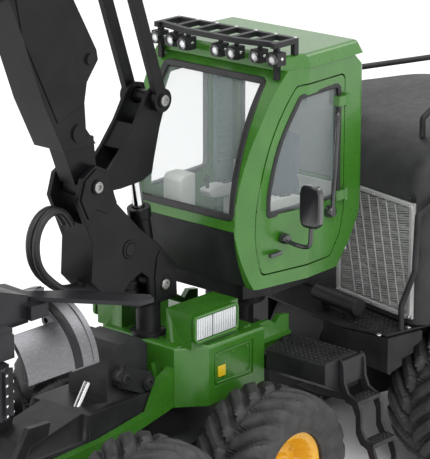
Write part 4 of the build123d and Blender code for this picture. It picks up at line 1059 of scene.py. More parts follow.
@dataclass
class CabTrim:
    """Rubber seals round the cab's windows and the door's window."""

    offset: tuple[float, float] = (33.8, -10.8)
    window_curve: tuple = ((-22.8, 82.6), (-23.2, 90.0), (-26.8, 102.0), (-33.4, 113.2))
    window_rest: tuple = ((-49.4, 113.6), (-49.4, 82.6))
    screen_curve: tuple = ((-13.5, 81.0), (-14.2, 89.0), (-16.4, 98.0), (-21.2, 109.6), (-29.0, 120.6))
    screen_low: float = 83.0
    screen_high: float = 117.4
    screen_half: float = 17.3
    front_half: float = 21.5
    rear_half: float = 24.5
    seal_width: float = 1.3
    seal_depth: float = 1.9

    def wall_y(self, x: float) -> float:
        """Returns how far the side wall stands from the middle at a place along the cab."""
        if x > -20.0:
            return self.front_half
        if x > -36.0:
            return self.front_half + (self.rear_half - self.front_half) * (-20.0 - x) / 16.0
        return self.rear_half - (-36.0 - x) / 25.0

    def place(self, x: float, y: float, z: float) -> Point:
        """Moves a point of the cab into the frame."""
        return (x + self.offset[0], y + self.offset[1], z)

    def side_seal(self, side: int) -> bpy.types.Mesh:
        """Builds the rubber seal round one side window."""
        loop = smooth_line(list(self.window_curve)) + list(self.window_rest)
        inner = []
        for x, z in loop:
            inner.append(self.place(x, side * (self.wall_y(x) - self.seal_depth / 2 + 0.35), z))
        return swept(rounded_path(inner, 1.8, 3), strip_section(self.seal_width, self.seal_depth, 0.3),
                     Vector((0, 1, 0)))

    def screen_x(self, z: float) -> float:
        """Returns where the windscreen's outer face is at a height."""
        line = smooth_line(list(self.screen_curve), 12)
        for (xa, za), (xb, zb) in zip(line, line[1:]):
            if za <= z <= zb:
                return xa + (xb - xa) * (z - za) / (zb - za)
        return line[-1][0]

    def screen_seal(self) -> bpy.types.Mesh:
        """Builds the seal round the windscreen, which follows its bend."""
        levels = [self.screen_low + (self.screen_high - self.screen_low) * s / 14 for s in range(15)]
        rim = [self.place(self.screen_x(z) - 0.45, self.screen_half, z) for z in levels]
        rim += [self.place(self.screen_x(z) - 0.45, -self.screen_half, z) for z in reversed(levels)]
        return swept(rounded_path(rim, 1.6, 3), strip_section(1.9, 1.7, 0.35), Vector((1, 0, 0.3)))

    def rear_seal(self) -> bpy.types.Mesh:
        """Builds the seal round the rear window."""
        rim = [self.place(-59.7, y, z) for y, z in ((-19, 84), (19, 84), (19, 115), (-19, 115))]
        return swept(rounded_path(rim, 1.8, 5), strip_section(1.1, 1.6, 0.3), Vector((1, 0, 0)))

    def build(self) -> None:
        """Makes the trim and puts it on the cab and its door."""
        seals = [self.side_seal(-1), self.screen_seal(), self.rear_seal()]
        add_piece("cab_window_seals", united(seals), "cab", HOSE)
        add_piece("door_window_seal", self.side_seal(1), "cab_door", HOSE)


TEAL = Moulded("panel_grey_green", Slot.FLOOR, (0.10, 0.18, 0.17), (0.14, 0.23, 0.22), 0.5)
PAD_GREY = Moulded("console_pale_grey", Slot.FLOOR, (0.60, 0.60, 0.58), (0.74, 0.74, 0.71), 0.45)
SIGN_BLANK = Enamel("blank_plate_yellow", Slot.RIM, (0.62, 0.44, 0.01), (0.7, 0.5, 0.02))


@dataclass
class CabInside:
    """Moulded seat, arm consoles with levers, side panels and the ribs of the floor."""

    seat_y: float = 2.0
    seat_half: float = 6.7
    arm_y: float = 10.2

    def cushion(self, outline: list[tuple[float, float]], half: float, crown: float,
                channels: int) -> bpy.types.Mesh:
        """Builds a moulded seat cushion: crowned across, with pressed channels along it.

        Args:
            outline: Its closed (x, z) outline, in millimetres.
            half: Half its width.
            crown: How far its middle stands above its sides.
            channels: Number of pressed channels.

        Returns:
            A closed mesh in place.
        """
        loop = smooth_line(outline + outline[:1], 8)[:-1]
        middle = Vector((sum(p[0] for p in loop) / len(loop), 0, sum(p[1] for p in loop) / len(loop)))
        verts, faces, rows = [], [], 40
        count = len(loop)
        for row in range(rows + 1):
            share = -1 + 2 * row / rows
            swell = (1 - abs(share) ** 5) ** 0.5
            seam = 0.0
            for channel in range(channels):
                place = -0.62 + 1.24 * channel / max(1, channels - 1)
                seam += math.exp(-((share - place) / 0.05) ** 2)
            for x, z in loop:
                out = Vector((x, 0, z)) - middle
                reach = out.length
                push = (reach - (1 - swell) * min(reach, 1.6) * 0.9 - crown * share * share
                        - 0.28 * min(seam, 1.0))
                spot = middle + out.normalized() * max(0.2, push)
                verts.append(Vector(moved(spot.x, self.seat_y + share * half, spot.z)) * MM)
        for row in range(rows):
            for step in range(count):
                ahead = (step + 1) % count
                faces.append((row * count + step, row * count + ahead, (row + 1) * count + ahead,
                              (row + 1) * count + step))
        faces += [tuple(range(count)), tuple(reversed(range(rows * count, (rows + 1) * count)))]
        return outward(verts, faces)

    def seat(self) -> None:
        """Builds the seat with its winged back, headrest and pedestal."""
        base = self.cushion([(-36.9, 73.1), (-36.2, 75.0), (-37.4, 76.4), (-42.0, 76.7), (-47.4, 76.0),
                             (-48.6, 73.9), (-46.0, 72.9), (-41.0, 72.8)], self.seat_half, 0.25, 3)
        back = self.cushion([(-47.9, 75.2), (-48.6, 82.0), (-49.0, 88.0), (-49.5, 94.4), (-50.4, 97.0),
                             (-52.0, 97.0), (-52.3, 90.0), (-52.0, 82.0), (-51.6, 75.8), (-49.8, 74.0)],
                            self.seat_half, 0.3, 3)
        rest = self.cushion([(-50.2, 99.0), (-50.0, 101.6), (-50.5, 103.9), (-51.6, 104.1), (-52.8, 103.2),
                             (-52.9, 100.4), (-52.2, 98.6), (-51.0, 98.4)], 3.9, 0.2, 0)
        stalks = [turned([(0, 0), (0, 0.35 * MM), (3.4 * MM, 0.35 * MM), (3.4 * MM, 0)],
                         Vector(moved(-51.3, self.seat_y + side * 1.3, 96.2)) * MM, Vector((0, 0, 1)), 12)
                  for side in (1, -1)]
        box = soft_block(moved(-46.3, self.seat_y - 3.9, 66.5), moved(-39.6, self.seat_y + 3.9, 73.0), 0.6)
        add_piece("seat_cushions", united([base, back, rest]), "cab", SEAT_CLOTH, ("seat",), 40)
        add_piece("seat_pedestal", united(stalks + [box]), "cab", CHASSIS)

    def consoles(self) -> None:
        """Builds the arm pods with their keys and levers, and the pale screen box."""
        pods, keys, levers = [], [], []
        for side in (1, -1):
            y = self.seat_y + side * self.arm_y
            pods.append(slab([(-46.9, 78.6), (-40.0, 79.1), (-33.2, 79.9), (-31.3, 81.6), (-31.6, 82.4),
                              (-35.8, 83.1), (-41.0, 82.6), (-46.9, 81.4)], y - 1.9, y + 1.9, 0.5))
            pods.append(slab([(-43.8, 66.5), (-40.4, 66.5), (-40.4, 79.4), (-43.8, 79.2)],
                             y - 1.1, y + 1.1, 0.3))
            for row in range(3):
                for column in (-0.9, 0.9):
                    keys.append(Site(moved(-41.6 + row * 1.5, y + column, 82.6 + row * 0.12), (0.05, 0, 1)))
            tilt = Vector((0.18, 0, 1))
            levers.append(turned([(0, 0), (0, 1.0 * MM), (0.5 * MM, 0.95 * MM), (0.9 * MM, 0.5 * MM),
                                  (2.2 * MM, 0.45 * MM), (2.6 * MM, 0.85 * MM), (3.4 * MM, 0.95 * MM),
                                  (4.2 * MM, 0.75 * MM), (4.5 * MM, 0.3 * MM), (4.55 * MM, 0)],
                                 Vector(moved(-33.0, y, 81.8)) * MM, tilt, 20))
        pods.append(slab([(-27.9, 66.5), (-22.1, 66.5), (-22.1, 86.6), (-23.2, 87.9), (-27.9, 87.9)],
                         -14.9, -8.1, 0.5))
        add_piece("console_bodies", united(pods), "cab", PAD_GREY, ("consoles",), 40)
        add_piece("console_levers", united(levers), "cab", CHASSIS, smooth_deg=40)
        spread("console_keys", pad_form(1.0, 1.0, 0.3), keys, "cab", CHASSIS)
        screen = slab([(-28.3, 78.6), (-27.8, 78.6), (-27.8, 86.6), (-28.3, 86.6)], -14.2, -8.8, 0.15)
        add_piece("console_screen", screen, "cab", LAMP_BLACK)

    def side_panels(self) -> None:
        """Lines the rear corners inside the glass with ribbed grey-green panels."""
        panels, ribs = [], []
        for side in (1, -1):
            low, high = sorted((side * 20.6, side * 22.1))
            panels.append(slab([(-57.6, 70.5), (-51.2, 70.5), (-50.4, 84.0), (-50.4, 116.2), (-57.6, 116.2)],
                               low, high, 0.3))
            for number in range(13):
                ribs.append(Site(moved(-54.0, side * 20.6, 84.0 + number * 2.4), (0, -side, 0)))
        add_piece("rear_corner_panels", united(panels), "cab", TEAL)
        lining = [slab([(-57.9, 65.2), (-22.0, 65.2), (-22.0, 82.0), (-57.9, 82.0)], side * 22.35 - 0.12,
                       side * 22.35 + 0.12, 0.05) for side in (-1,)]
        lining.append(slab([(-57.8, 65.2), (-57.3, 65.2), (-57.3, 83.4), (-57.8, 83.4)], -20.4, 20.4, 0.1))
        lining.append(slab([(-49.5, 65.1), (-21.2, 65.1), (-21.2, 66.0), (-49.5, 66.0)], -19.1, 19.1, 0.1))
        add_piece("cab_lining", united(lining), "cab", FLOOR)
        spread("rear_panel_ribs", pad_form(5.2, 0.7, 0.35), ribs, "cab", TEAL)
        treads = [Site(moved(-44.0 + column * 2.3, -17.1 + row * 3.8, 66.3), (0, 0, 1))
                  for column in range(10) for row in range(10)
                  if not (-47.5 < -44.0 + column * 2.3 < -38.5 and -3.5 < -17.1 + row * 3.8 < 7.0)]
        spread("floor_grip_bumps", stud_mesh(0.42, 0.18, 0.0, 8), treads, "cab", FLOOR)

    def build(self) -> set[str]:
        """Builds everything inside the cab and returns the nodes it stands for."""
        self.seat()
        self.consoles()
        self.side_panels()
        return {"seat", "consoles"}


LAMP_BLACK = Enamel("lamp_gloss_black", Slot.CHASSIS, (0.006, 0.006, 0.007), (0.012, 0.012, 0.014), 0.12, 0.8)
LAMP_LENS = Reflector("work_lamp_lens", Slot.LENS, (0.85, 0.87, 0.87), 0.45, "Z")


@dataclass
class RoofRack:
    """Lamp bodies with lenses, and bolts on the roof's rack and lamps."""

    rack_x: float = -26.0
    rack_z: float = 127.0
    places: tuple[float, ...] = (-19.0, -13.5, -8.0, 3.5, 9.0, 16.0, 22.0)

    def front_of(self, y: float) -> float:
        """Returns how far forward the lamp at a place across the rack reaches."""
        return self.rack_x + (2.6 if abs(y) < 12 else 1.4) + 0.4

    def build(self) -> None:
        """Builds the lamps and fastens the rack."""
        bezels, lenses = [], []
        ring = [(-0.2, 1.05), (-0.2, 1.62), (0.75, 1.62), (0.9, 1.5), (0.9, 1.3), (0.35, 1.15), (0.3, 1.05),
                (-0.2, 1.05)]
        dome = [(-0.1, 0.0), (-0.1, 1.2), (0.34, 1.18), (0.52, 0.9), (0.62, 0.45), (0.64, 0.0)]
        for y in self.places:
            centre = Vector(moved(self.front_of(y), y, self.rack_z - 2.7)) * MM
            bezels.append(turned([(a * MM, r * MM) for a, r in ring], centre, Vector((1, 0, -0.12)), 28))
            lenses.append(turned([(a * MM, r * MM) for a, r in dome], centre, Vector((1, 0, -0.12)), 28))
            bezels.append(soft_block(moved(self.front_of(y) - 3.1, y - 1.5, self.rack_z - 4.2),
                                     moved(self.front_of(y) - 0.1, y + 1.5, self.rack_z - 1.2), 0.5))
        add_piece("work_lamp_bezels", united(bezels), "cab", LAMP_BLACK, smooth_deg=40)
        add_piece("work_lamp_lenses", united(lenses), "cab", LAMP_LENS, smooth_deg=50)
        bolts = [Site(moved(self.rack_x - 7.9, y, self.rack_z + 1.4), (0, 0, 1), 0.32)
                 for y in (-19.3, -12.5, -5.7, 1.1, 7.9, 14.7, 21.4)]
        bolts += [Site(moved(self.front_of(y) - 1.8, y + 1.5, self.rack_z - 2.6), (0, 1, 0), 0.3)
                  for y in self.places]
        spread("rack_bolts", stud_mesh(1.6, 0.9, 0.0, 12), bolts, "cab", CHROME)


@dataclass
class DoorParts:
    """Mirror with its glass, bent handle and latch of the cab's door."""

    def build(self) -> None:
        """Builds the door's fittings over their plain forms."""
        turn = math.radians(5)
        middle = Vector(moved(-27.6, 32.6, 86.2))
        look = Vector((math.cos(turn), math.sin(turn), 0))
        aside = Vector((-look.y, look.x, 0))
        meshes, glass = [], []
        for near, reach, high, store in ((-1.05, 3.25, 5.75, meshes), (-1.3, 2.6, 5.0, glass)):
            verts, faces, rows = [], [], 32
            for level, shrink in ((near, 0.9), (near + 0.25, 1.0), (0.7 if store is meshes else -0.9, 1.0),
                                  (1.05 if store is meshes else -0.8, 0.82)):
                for step in range(rows):
                    angle = 2 * math.pi * step / rows
                    wide = math.copysign(abs(math.cos(angle)) ** 0.45, math.cos(angle)) * reach * shrink
                    tall = math.copysign(abs(math.sin(angle)) ** 0.45, math.sin(angle)) * high * shrink
                    verts.append((middle + look * level + aside * wide + Vector((0, 0, tall))) * MM)
            for band in range(3):
                for step in range(rows):
                    ahead = (step + 1) % rows
                    faces.append((band * rows + step, band * rows + ahead, (band + 1) * rows + ahead,
                                  (band + 1) * rows + step))
            faces += [tuple(range(rows)), tuple(reversed(range(3 * rows, 4 * rows)))]
            store.append(outward(verts, faces))
        arm = [moved(-27.0, 23.6, 76.0), moved(-27.2, 27.6, 75.0), moved(-27.8, 31.6, 75.2),
               moved(-28.0, 32.2, 79.0), moved(-28.0, 32.2, 84.0)]
        meshes.append(tube_along(arm, 0.62))
        meshes.append(turned([(0, 0), (0, 1.5 * MM), (1.6 * MM, 1.45 * MM),
                              (2.2 * MM, 1.0 * MM), (2.4 * MM, 0)],
                             Vector(moved(-27.0, 23.4, 76.0)) * MM, Vector((0, 1, 0)), 24))
        grip = [moved(-45.0, 24.0, 79.6), moved(-45.0, 25.6, 79.8), moved(-45.2, 25.7, 84.0),
                moved(-46.4, 25.5, 93.0), moved(-47.2, 25.4, 104.6), moved(-47.4, 24.4, 106.0)]
        meshes.append(tube_along(grip, 0.62))
        meshes.append(turned([(0, 0), (0, 1.75 * MM), (1.5 * MM, 1.7 * MM), (2.1 * MM, 1.2 * MM),
                              (2.2 * MM, 0)],
                             Vector(moved(-45.0, 24.1, 79.6)) * MM, Vector((0, 1, 0)), 24))
        meshes.append(slab([(-26.5, 71.7), (-21.7, 71.7), (-21.7, 72.8), (-26.5, 72.8)], 22.9, 24.1, 0.3))
        add_piece("door_mirror_and_handles", united(meshes), "cab_door", LAMP_BLACK, ("door_fittings",), 40)
        add_piece("door_mirror_glass", united(glass), "cab_door", MIRROR)


MIRROR = Brushed("mirror_silvered", Slot.CHROME, (0.6, 0.62, 0.63), (0.8, 0.82, 0.82), 0.06, (1, 1, 1))


def tube_along(points: list[Point], radius: float, steps: int = 14) -> bpy.types.Mesh:
    """Builds a round bent bar along a smooth line through points, in millimetres."""
    line = []
    count = len(points)
    for number in range(count - 1):
        p0, p1, p2, p3 = (Vector(points[max(0, number - 1)]), Vector(points[number]),
                          Vector(points[number + 1]), Vector(points[min(count - 1, number + 2)]))
        for step in range(8):
            t = step / 8
            line.append(0.5 * (2 * p1 + (p2 - p0) * t + (2 * p0 - 5 * p1 + 4 * p2 - p3) * t * t
                               + (3 * p1 - p0 - 3 * p2 + p3) * t ** 3) * MM)
    line.append(Vector(points[-1]) * MM)
    return swept(line, round_section(radius, steps), Vector((0.13, 0.21, 0.97)), closed=False)


@dataclass
class FrontBody:
    """Deck fastenings, recessed panels, headlamp frames and grip pads of the front body."""

    deck_z: float = 51.3
    cowl_half: float = 19.0
    lamp_front: float = 1.7
    lamp_length: float = 16.3
    lamp_low: float = 53.2
    lamp_high: float = 59.6

    def lamp_frames(self) -> None:
        """Frames the headlamps and ribs their lenses."""
        frames, lenses = [], []
        rear = self.lamp_front - self.lamp_length
        for side in (1, -1):
            face = side * (self.cowl_half - 0.9)
            rim = [moved(x, face - side * 0.1, z) for x, z in
                   ((rear - 0.3, self.lamp_low - 0.3), (self.lamp_front, self.lamp_low - 0.3),
                    (self.lamp_front, self.lamp_high + 0.2), (rear - 0.3, self.lamp_high + 0.2))]
            frames.append(swept(rounded_path(rim, 1.2, 4), strip_section(0.7, 1.1, 0.2), Vector((0, 1, 0))))
            low, high = sorted((face - side * 0.6, face + side * 0.22))
            split = rear + self.lamp_length * 0.58
            for start, end in ((rear + 0.2, split - 0.2), (split + 0.2, self.lamp_front - 0.6)):
                lenses.append(slab([(start, self.lamp_low + 0.2), (end, self.lamp_low + 0.2),
                                    (end, self.lamp_high - 0.3), (start, self.lamp_high - 0.3)],
                                   low, high, 0.25))
        add_piece("headlamp_frames", united(frames), "front", GREEN)
        add_piece("headlamp_lenses", united(lenses), "front", LENS, ("headlamps",))

    def panels(self) -> None:
        """Adds the recessed side panels' rims, blank plates and bolts."""
        rims, plates, bolts = [], [], []
        for side in (1, -1):
            face = side * (self.cowl_half - 0.35)
            rim = [moved(x, face, z) for x, z in ((-19.6, 39.8), (-5.6, 39.8), (-5.6, 48.0), (-19.6, 48.0))]
            rims.append(swept(rounded_path(rim, 1.2, 4), strip_section(0.6, 0.5, 0.15), Vector((0, 1, 0))))
            low, high = sorted((side * (self.cowl_half - 0.45), side * (self.cowl_half - 0.1)))
            plates.append(slab([(-9.6, 41.4), (-6.6, 41.4), (-6.6, 44.4), (-9.6, 44.4)], low, high, 0.1))
            bolts += [Site(moved(x, side * (self.cowl_half - 0.4), z), (0, side, 0), 0.3)
                      for x in (-18.6, -12.6, -6.6) for z in (40.8, 47.0)]
            bolts += [Site(moved(x, side * 16.0, self.deck_z), (0, 0, 1), 0.42) for x in (-22.0, -20.5)]
            bolts += [Site(moved(x, side * 12.8, 29.4), (0, side, 0), 0.45) for x in (32.0, 38.0, 44.0)]
        ring = [Site(moved(4.9 * math.cos(a), 4.9 * math.sin(a), self.deck_z), (0, 0, 1), 0.4)
                for a in (math.radians(22.5 + 45 * n) for n in range(8))
                if 4.9 * math.cos(a) < 3.4]
        add_piece("cowl_panel_rims", united(rims), "front", GREEN)
        add_piece("cowl_blank_plates", united(plates), "front", SIGN_BLANK)
        spread("cowl_bolts", stud_mesh(1.6, 0.7, 0.0, 16), bolts, "front", GREEN)
        spread("post_foot_bolts", stud_mesh(1.6, 1.0, 0.0, 12), ring, "front", CHASSIS)

    def grip_pads(self) -> None:
        """Covers the steps with rows of round grip dots."""
        dots = [Site(moved(-37.4 + column * 1.65, side * (21.4 + row * 1.65), 45.2), (0, 0, 1))
                for side in (1, -1) for column in range(8) for row in range(11)]
        spread("step_box_grip_dots", stud_mesh(0.5, 0.28, 0.0, 8), dots, "front", CHASSIS)
        slots = [Site(moved(x, y, z), (0, 0, 1))
                 for y, z in ((44.0, 34.6), (45.4, 34.6), (49.4, 24.0), (50.8, 24.0))
                 for x in (-38.6, -36.9, -35.2, -33.5, -32.0)]
        spread("ladder_grip_dots", stud_mesh(0.45, 0.3, 0.0, 8), slots, "front", CHASSIS)
        bosses = [Site(moved(x, 10.2, z), (0, 1, 0), 0.95) for x, z in ((19.4, 46.0), (10.6, 42.6))]
        spread("knuckle_pins", stud_mesh(1.6, 0.5, 0.8), bosses, "front", CHASSIS)
        rod = turned([(-0.1 * MM, 0.0), (-0.1 * MM, 1.0 * MM), (7.2 * MM, 1.0 * MM), (7.2 * MM, 0.0)],
                     Vector(moved(26.2, 3.0, 45.2)) * MM, Vector((4.3, 0, -6.1)), 24)
        add_piece("slanted_rod", rod, "front", CHROME, smooth_deg=40)

    def build(self) -> set[str]:
        """Builds the front body's details and returns the nodes they stand for."""
        self.lamp_frames()
        self.panels()
        self.grip_pads()
        return {"headlamps"}


@dataclass
class RearBody:
    """Grille slats, uprights, frame and screws, and the deck's grip dots and bolts of the rear body."""

    front_x: float = -72.0
    grille_low: float = 47.0
    grille_high: float = 80.0
    grille_inner: float = 1.5
    grille_outer: float = 33.5
    deck_z: float = 45.0

    def grille(self) -> None:
        """Lays the fine slats and upright wires over the radiator grille."""
        bars, wires = [], []
        face = self.front_x - 0.1
        rows = 44
        for row in range(rows):
            z = self.grille_low + 1.9 + (self.grille_high - self.grille_low - 3.8) * row / (rows - 1)
            bars.append(Site(swung(face - 0.25, (self.grille_inner + self.grille_outer) / 2, z),
                             swung_aim(1, 0)))
        for column in range(7):
            y = self.grille_inner + 4.6 + (self.grille_outer - self.grille_inner - 9.2) * column / 6
            wires.append(Site(swung(face - 0.1, y, (self.grille_low + self.grille_high) / 2),
                              swung_aim(1, 0)))
        bar = soft_block((-0.16, -(self.grille_outer - self.grille_inner) / 2 + 1.3, -0.1),
                         (0.16, (self.grille_outer - self.grille_inner) / 2 - 1.3, 0.3), 0.06, segments=1)
        wire = soft_block((-(self.grille_high - self.grille_low) / 2 + 1.3, -0.25, -0.1),
                          ((self.grille_high - self.grille_low) / 2 - 1.3, 0.25, 0.35), 0.08, segments=1)
        spread("grille_slats", bar, bars, "rear", GRILLE)
        spread("grille_uprights", wire, wires, "rear", GRILLE)
        rim = [swung(self.front_x + 0.1, y, z) for y, z in
               ((self.grille_inner + 0.6, self.grille_low + 0.6),
                (self.grille_outer - 0.6, self.grille_low + 0.6),
                (self.grille_outer - 0.6, self.grille_high - 0.6),
                (self.grille_inner + 0.6, self.grille_high - 0.6))]
        frame = swept(rounded_path(rim, 1.4, 4), strip_section(1.3, 0.9, 0.25), Vector(swung_aim(1, 0)))
        corners_at = [Site(swung(self.front_x + 0.5, y, z), swung_aim(1, 0), 0.28)
                      for y in (self.grille_inner + 0.7, (self.grille_inner + self.grille_outer) / 2,
                                self.grille_outer - 0.7)
                      for z in (self.grille_low + 0.7, self.grille_high - 0.7)]
        add_piece("grille_frame", frame, "rear", GRILLE)
        spread("grille_screws", stud_mesh(1.6, 0.9, 0.8, 24), corners_at, "rear", CHROME)

    def deck(self) -> None:
        """Covers the side boxes' tops with grip dots, and bolts the deck down."""
        dots, bolts = [], []
        for side in (1, -1):
            for column in range(6):
                for row in range(11):
                    dots.append(Site(swung(-70.6 + column * 1.7, side * (14.6 + row * 1.75), self.deck_z),
                                     (0, 0, 1)))
            bolts += [Site(swung(x, side * 33.6, self.deck_z), (0, 0, 1), 0.45) for x in (-71.0, -60.5)]
        spread("rear_deck_grip_dots", stud_mesh(0.5, 0.28, 0.0, 8), dots, "rear", CHASSIS)
        spread("rear_deck_bolts", stud_mesh(1.6, 0.7, 0.8), bolts, "rear", CHROME)

    def build(self) -> None:
        """Builds every detail of the rear body."""
        self.grille()
        self.deck()


@dataclass
class Hubs:
    """Bolt circles and hub caps of the eight wheels."""

    frame: dict
    bolts: int = 10
    circle: float = 5.6

    def build(self) -> None:
        """Builds the hubs' fastenings, each on its own wheel."""
        for joint in self.frame["joints"]:
            if not joint["name"].startswith("spin_"):
                continue
            place = joint["name"][len("spin_"):]
            outer = 1.0 if "left" in place else -1.0
            axle = Vector(joint["axis"]).normalized()
            if axle.y * outer < 0:
                axle = -axle
            centre = Vector(joint["pos_m"]) / MM
            side = axle.cross(Vector((0, 0, 1)))
            sites = []
            for number in range(self.bolts):
                turn = 2 * math.pi * number / self.bolts
                out = side * math.cos(turn) + Vector((0, 0, 1)) * math.sin(turn)
                sites.append(Site(tuple(centre + axle * 3.1 + out * self.circle), tuple(axle), 0.34))
            sites.append(Site(tuple(centre + axle * 4.4), tuple(axle), 1.55))
            spread("hub_bolts_" + place, stud_mesh(1.6, 0.8, 0.8), sites, joint["child"], RIM)


@dataclass
class Hoses:
    """The double hose loop in front of the pillar."""

    route: tuple[Point, ...] = ((29.3, 0, 87.9), (31.2, 0, 91.4), (35.0, 0, 93.0), (39.2, 0, 91.4),
                                (41.8, 0, 87.2), (41.8, 0, 81.8), (39.8, 0, 77.6), (36.6, 0, 74.5),
                                (33.2, 0, 71.8), (29.4, 0, 70.3), (25.4, 0, 70.2))
    places: tuple[float, ...] = (-1.15, 1.15)
    radius: float = 1.0

    def build(self) -> set[str]:
        """Lays each hose on its route and returns the node they stand for."""
        for number, y in enumerate(self.places):
            curve = bpy.data.curves.new("crane_hose_" + str(number + 1), "CURVE")
            curve.dimensions = "3D"
            spline = curve.splines.new("NURBS")
            points = [Vector(moved(x, y, z)) * MM for x, _, z in self.route]
            spline.points.add(len(points) - 1)
            for knot, point in zip(spline.points, points):
                knot.co = (*point, 1)
            spline.order_u = 3
            spline.use_endpoint_u = True
            spline.resolution_u = 16
            curve.bevel_depth = self.radius * MM
            curve.bevel_resolution = 6
            curve.use_fill_caps = True
            curve.materials.append(FINISHES.get(HOSE))
            hose = bpy.data.objects.new("crane_hose_" + str(number + 1), curve)
            bpy.context.scene.collection.objects.link(hose)
            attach(hose, "pillar")
            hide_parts("crane_hoses")
            self.length(points)
            LOG.info("%s rides on pillar", hose.name)
        return {"crane_hoses"}

    def length(self, points: list[Vector]) -> float:
        """Returns the length of the smooth line through the route's points, in metres."""
        probe = bpy.data.curves.new("probe", "CURVE")
        probe.dimensions = "3D"
        spline = probe.splines.new("NURBS")
        spline.points.add(len(points) - 1)
        for knot, point in zip(spline.points, points):
            knot.co = (*point, 1)
        spline.order_u = 3
        spline.use_endpoint_u = True
        holder = bpy.data.objects.new("probe", probe)
        line = bpy.data.meshes.new_from_object(holder)
        run = sum((line.vertices[e.vertices[0]].co - line.vertices[e.vertices[1]].co).length
                  for e in line.edges)
        bpy.data.objects.remove(holder)
        bpy.data.meshes.remove(line)
        return round(run, 4)


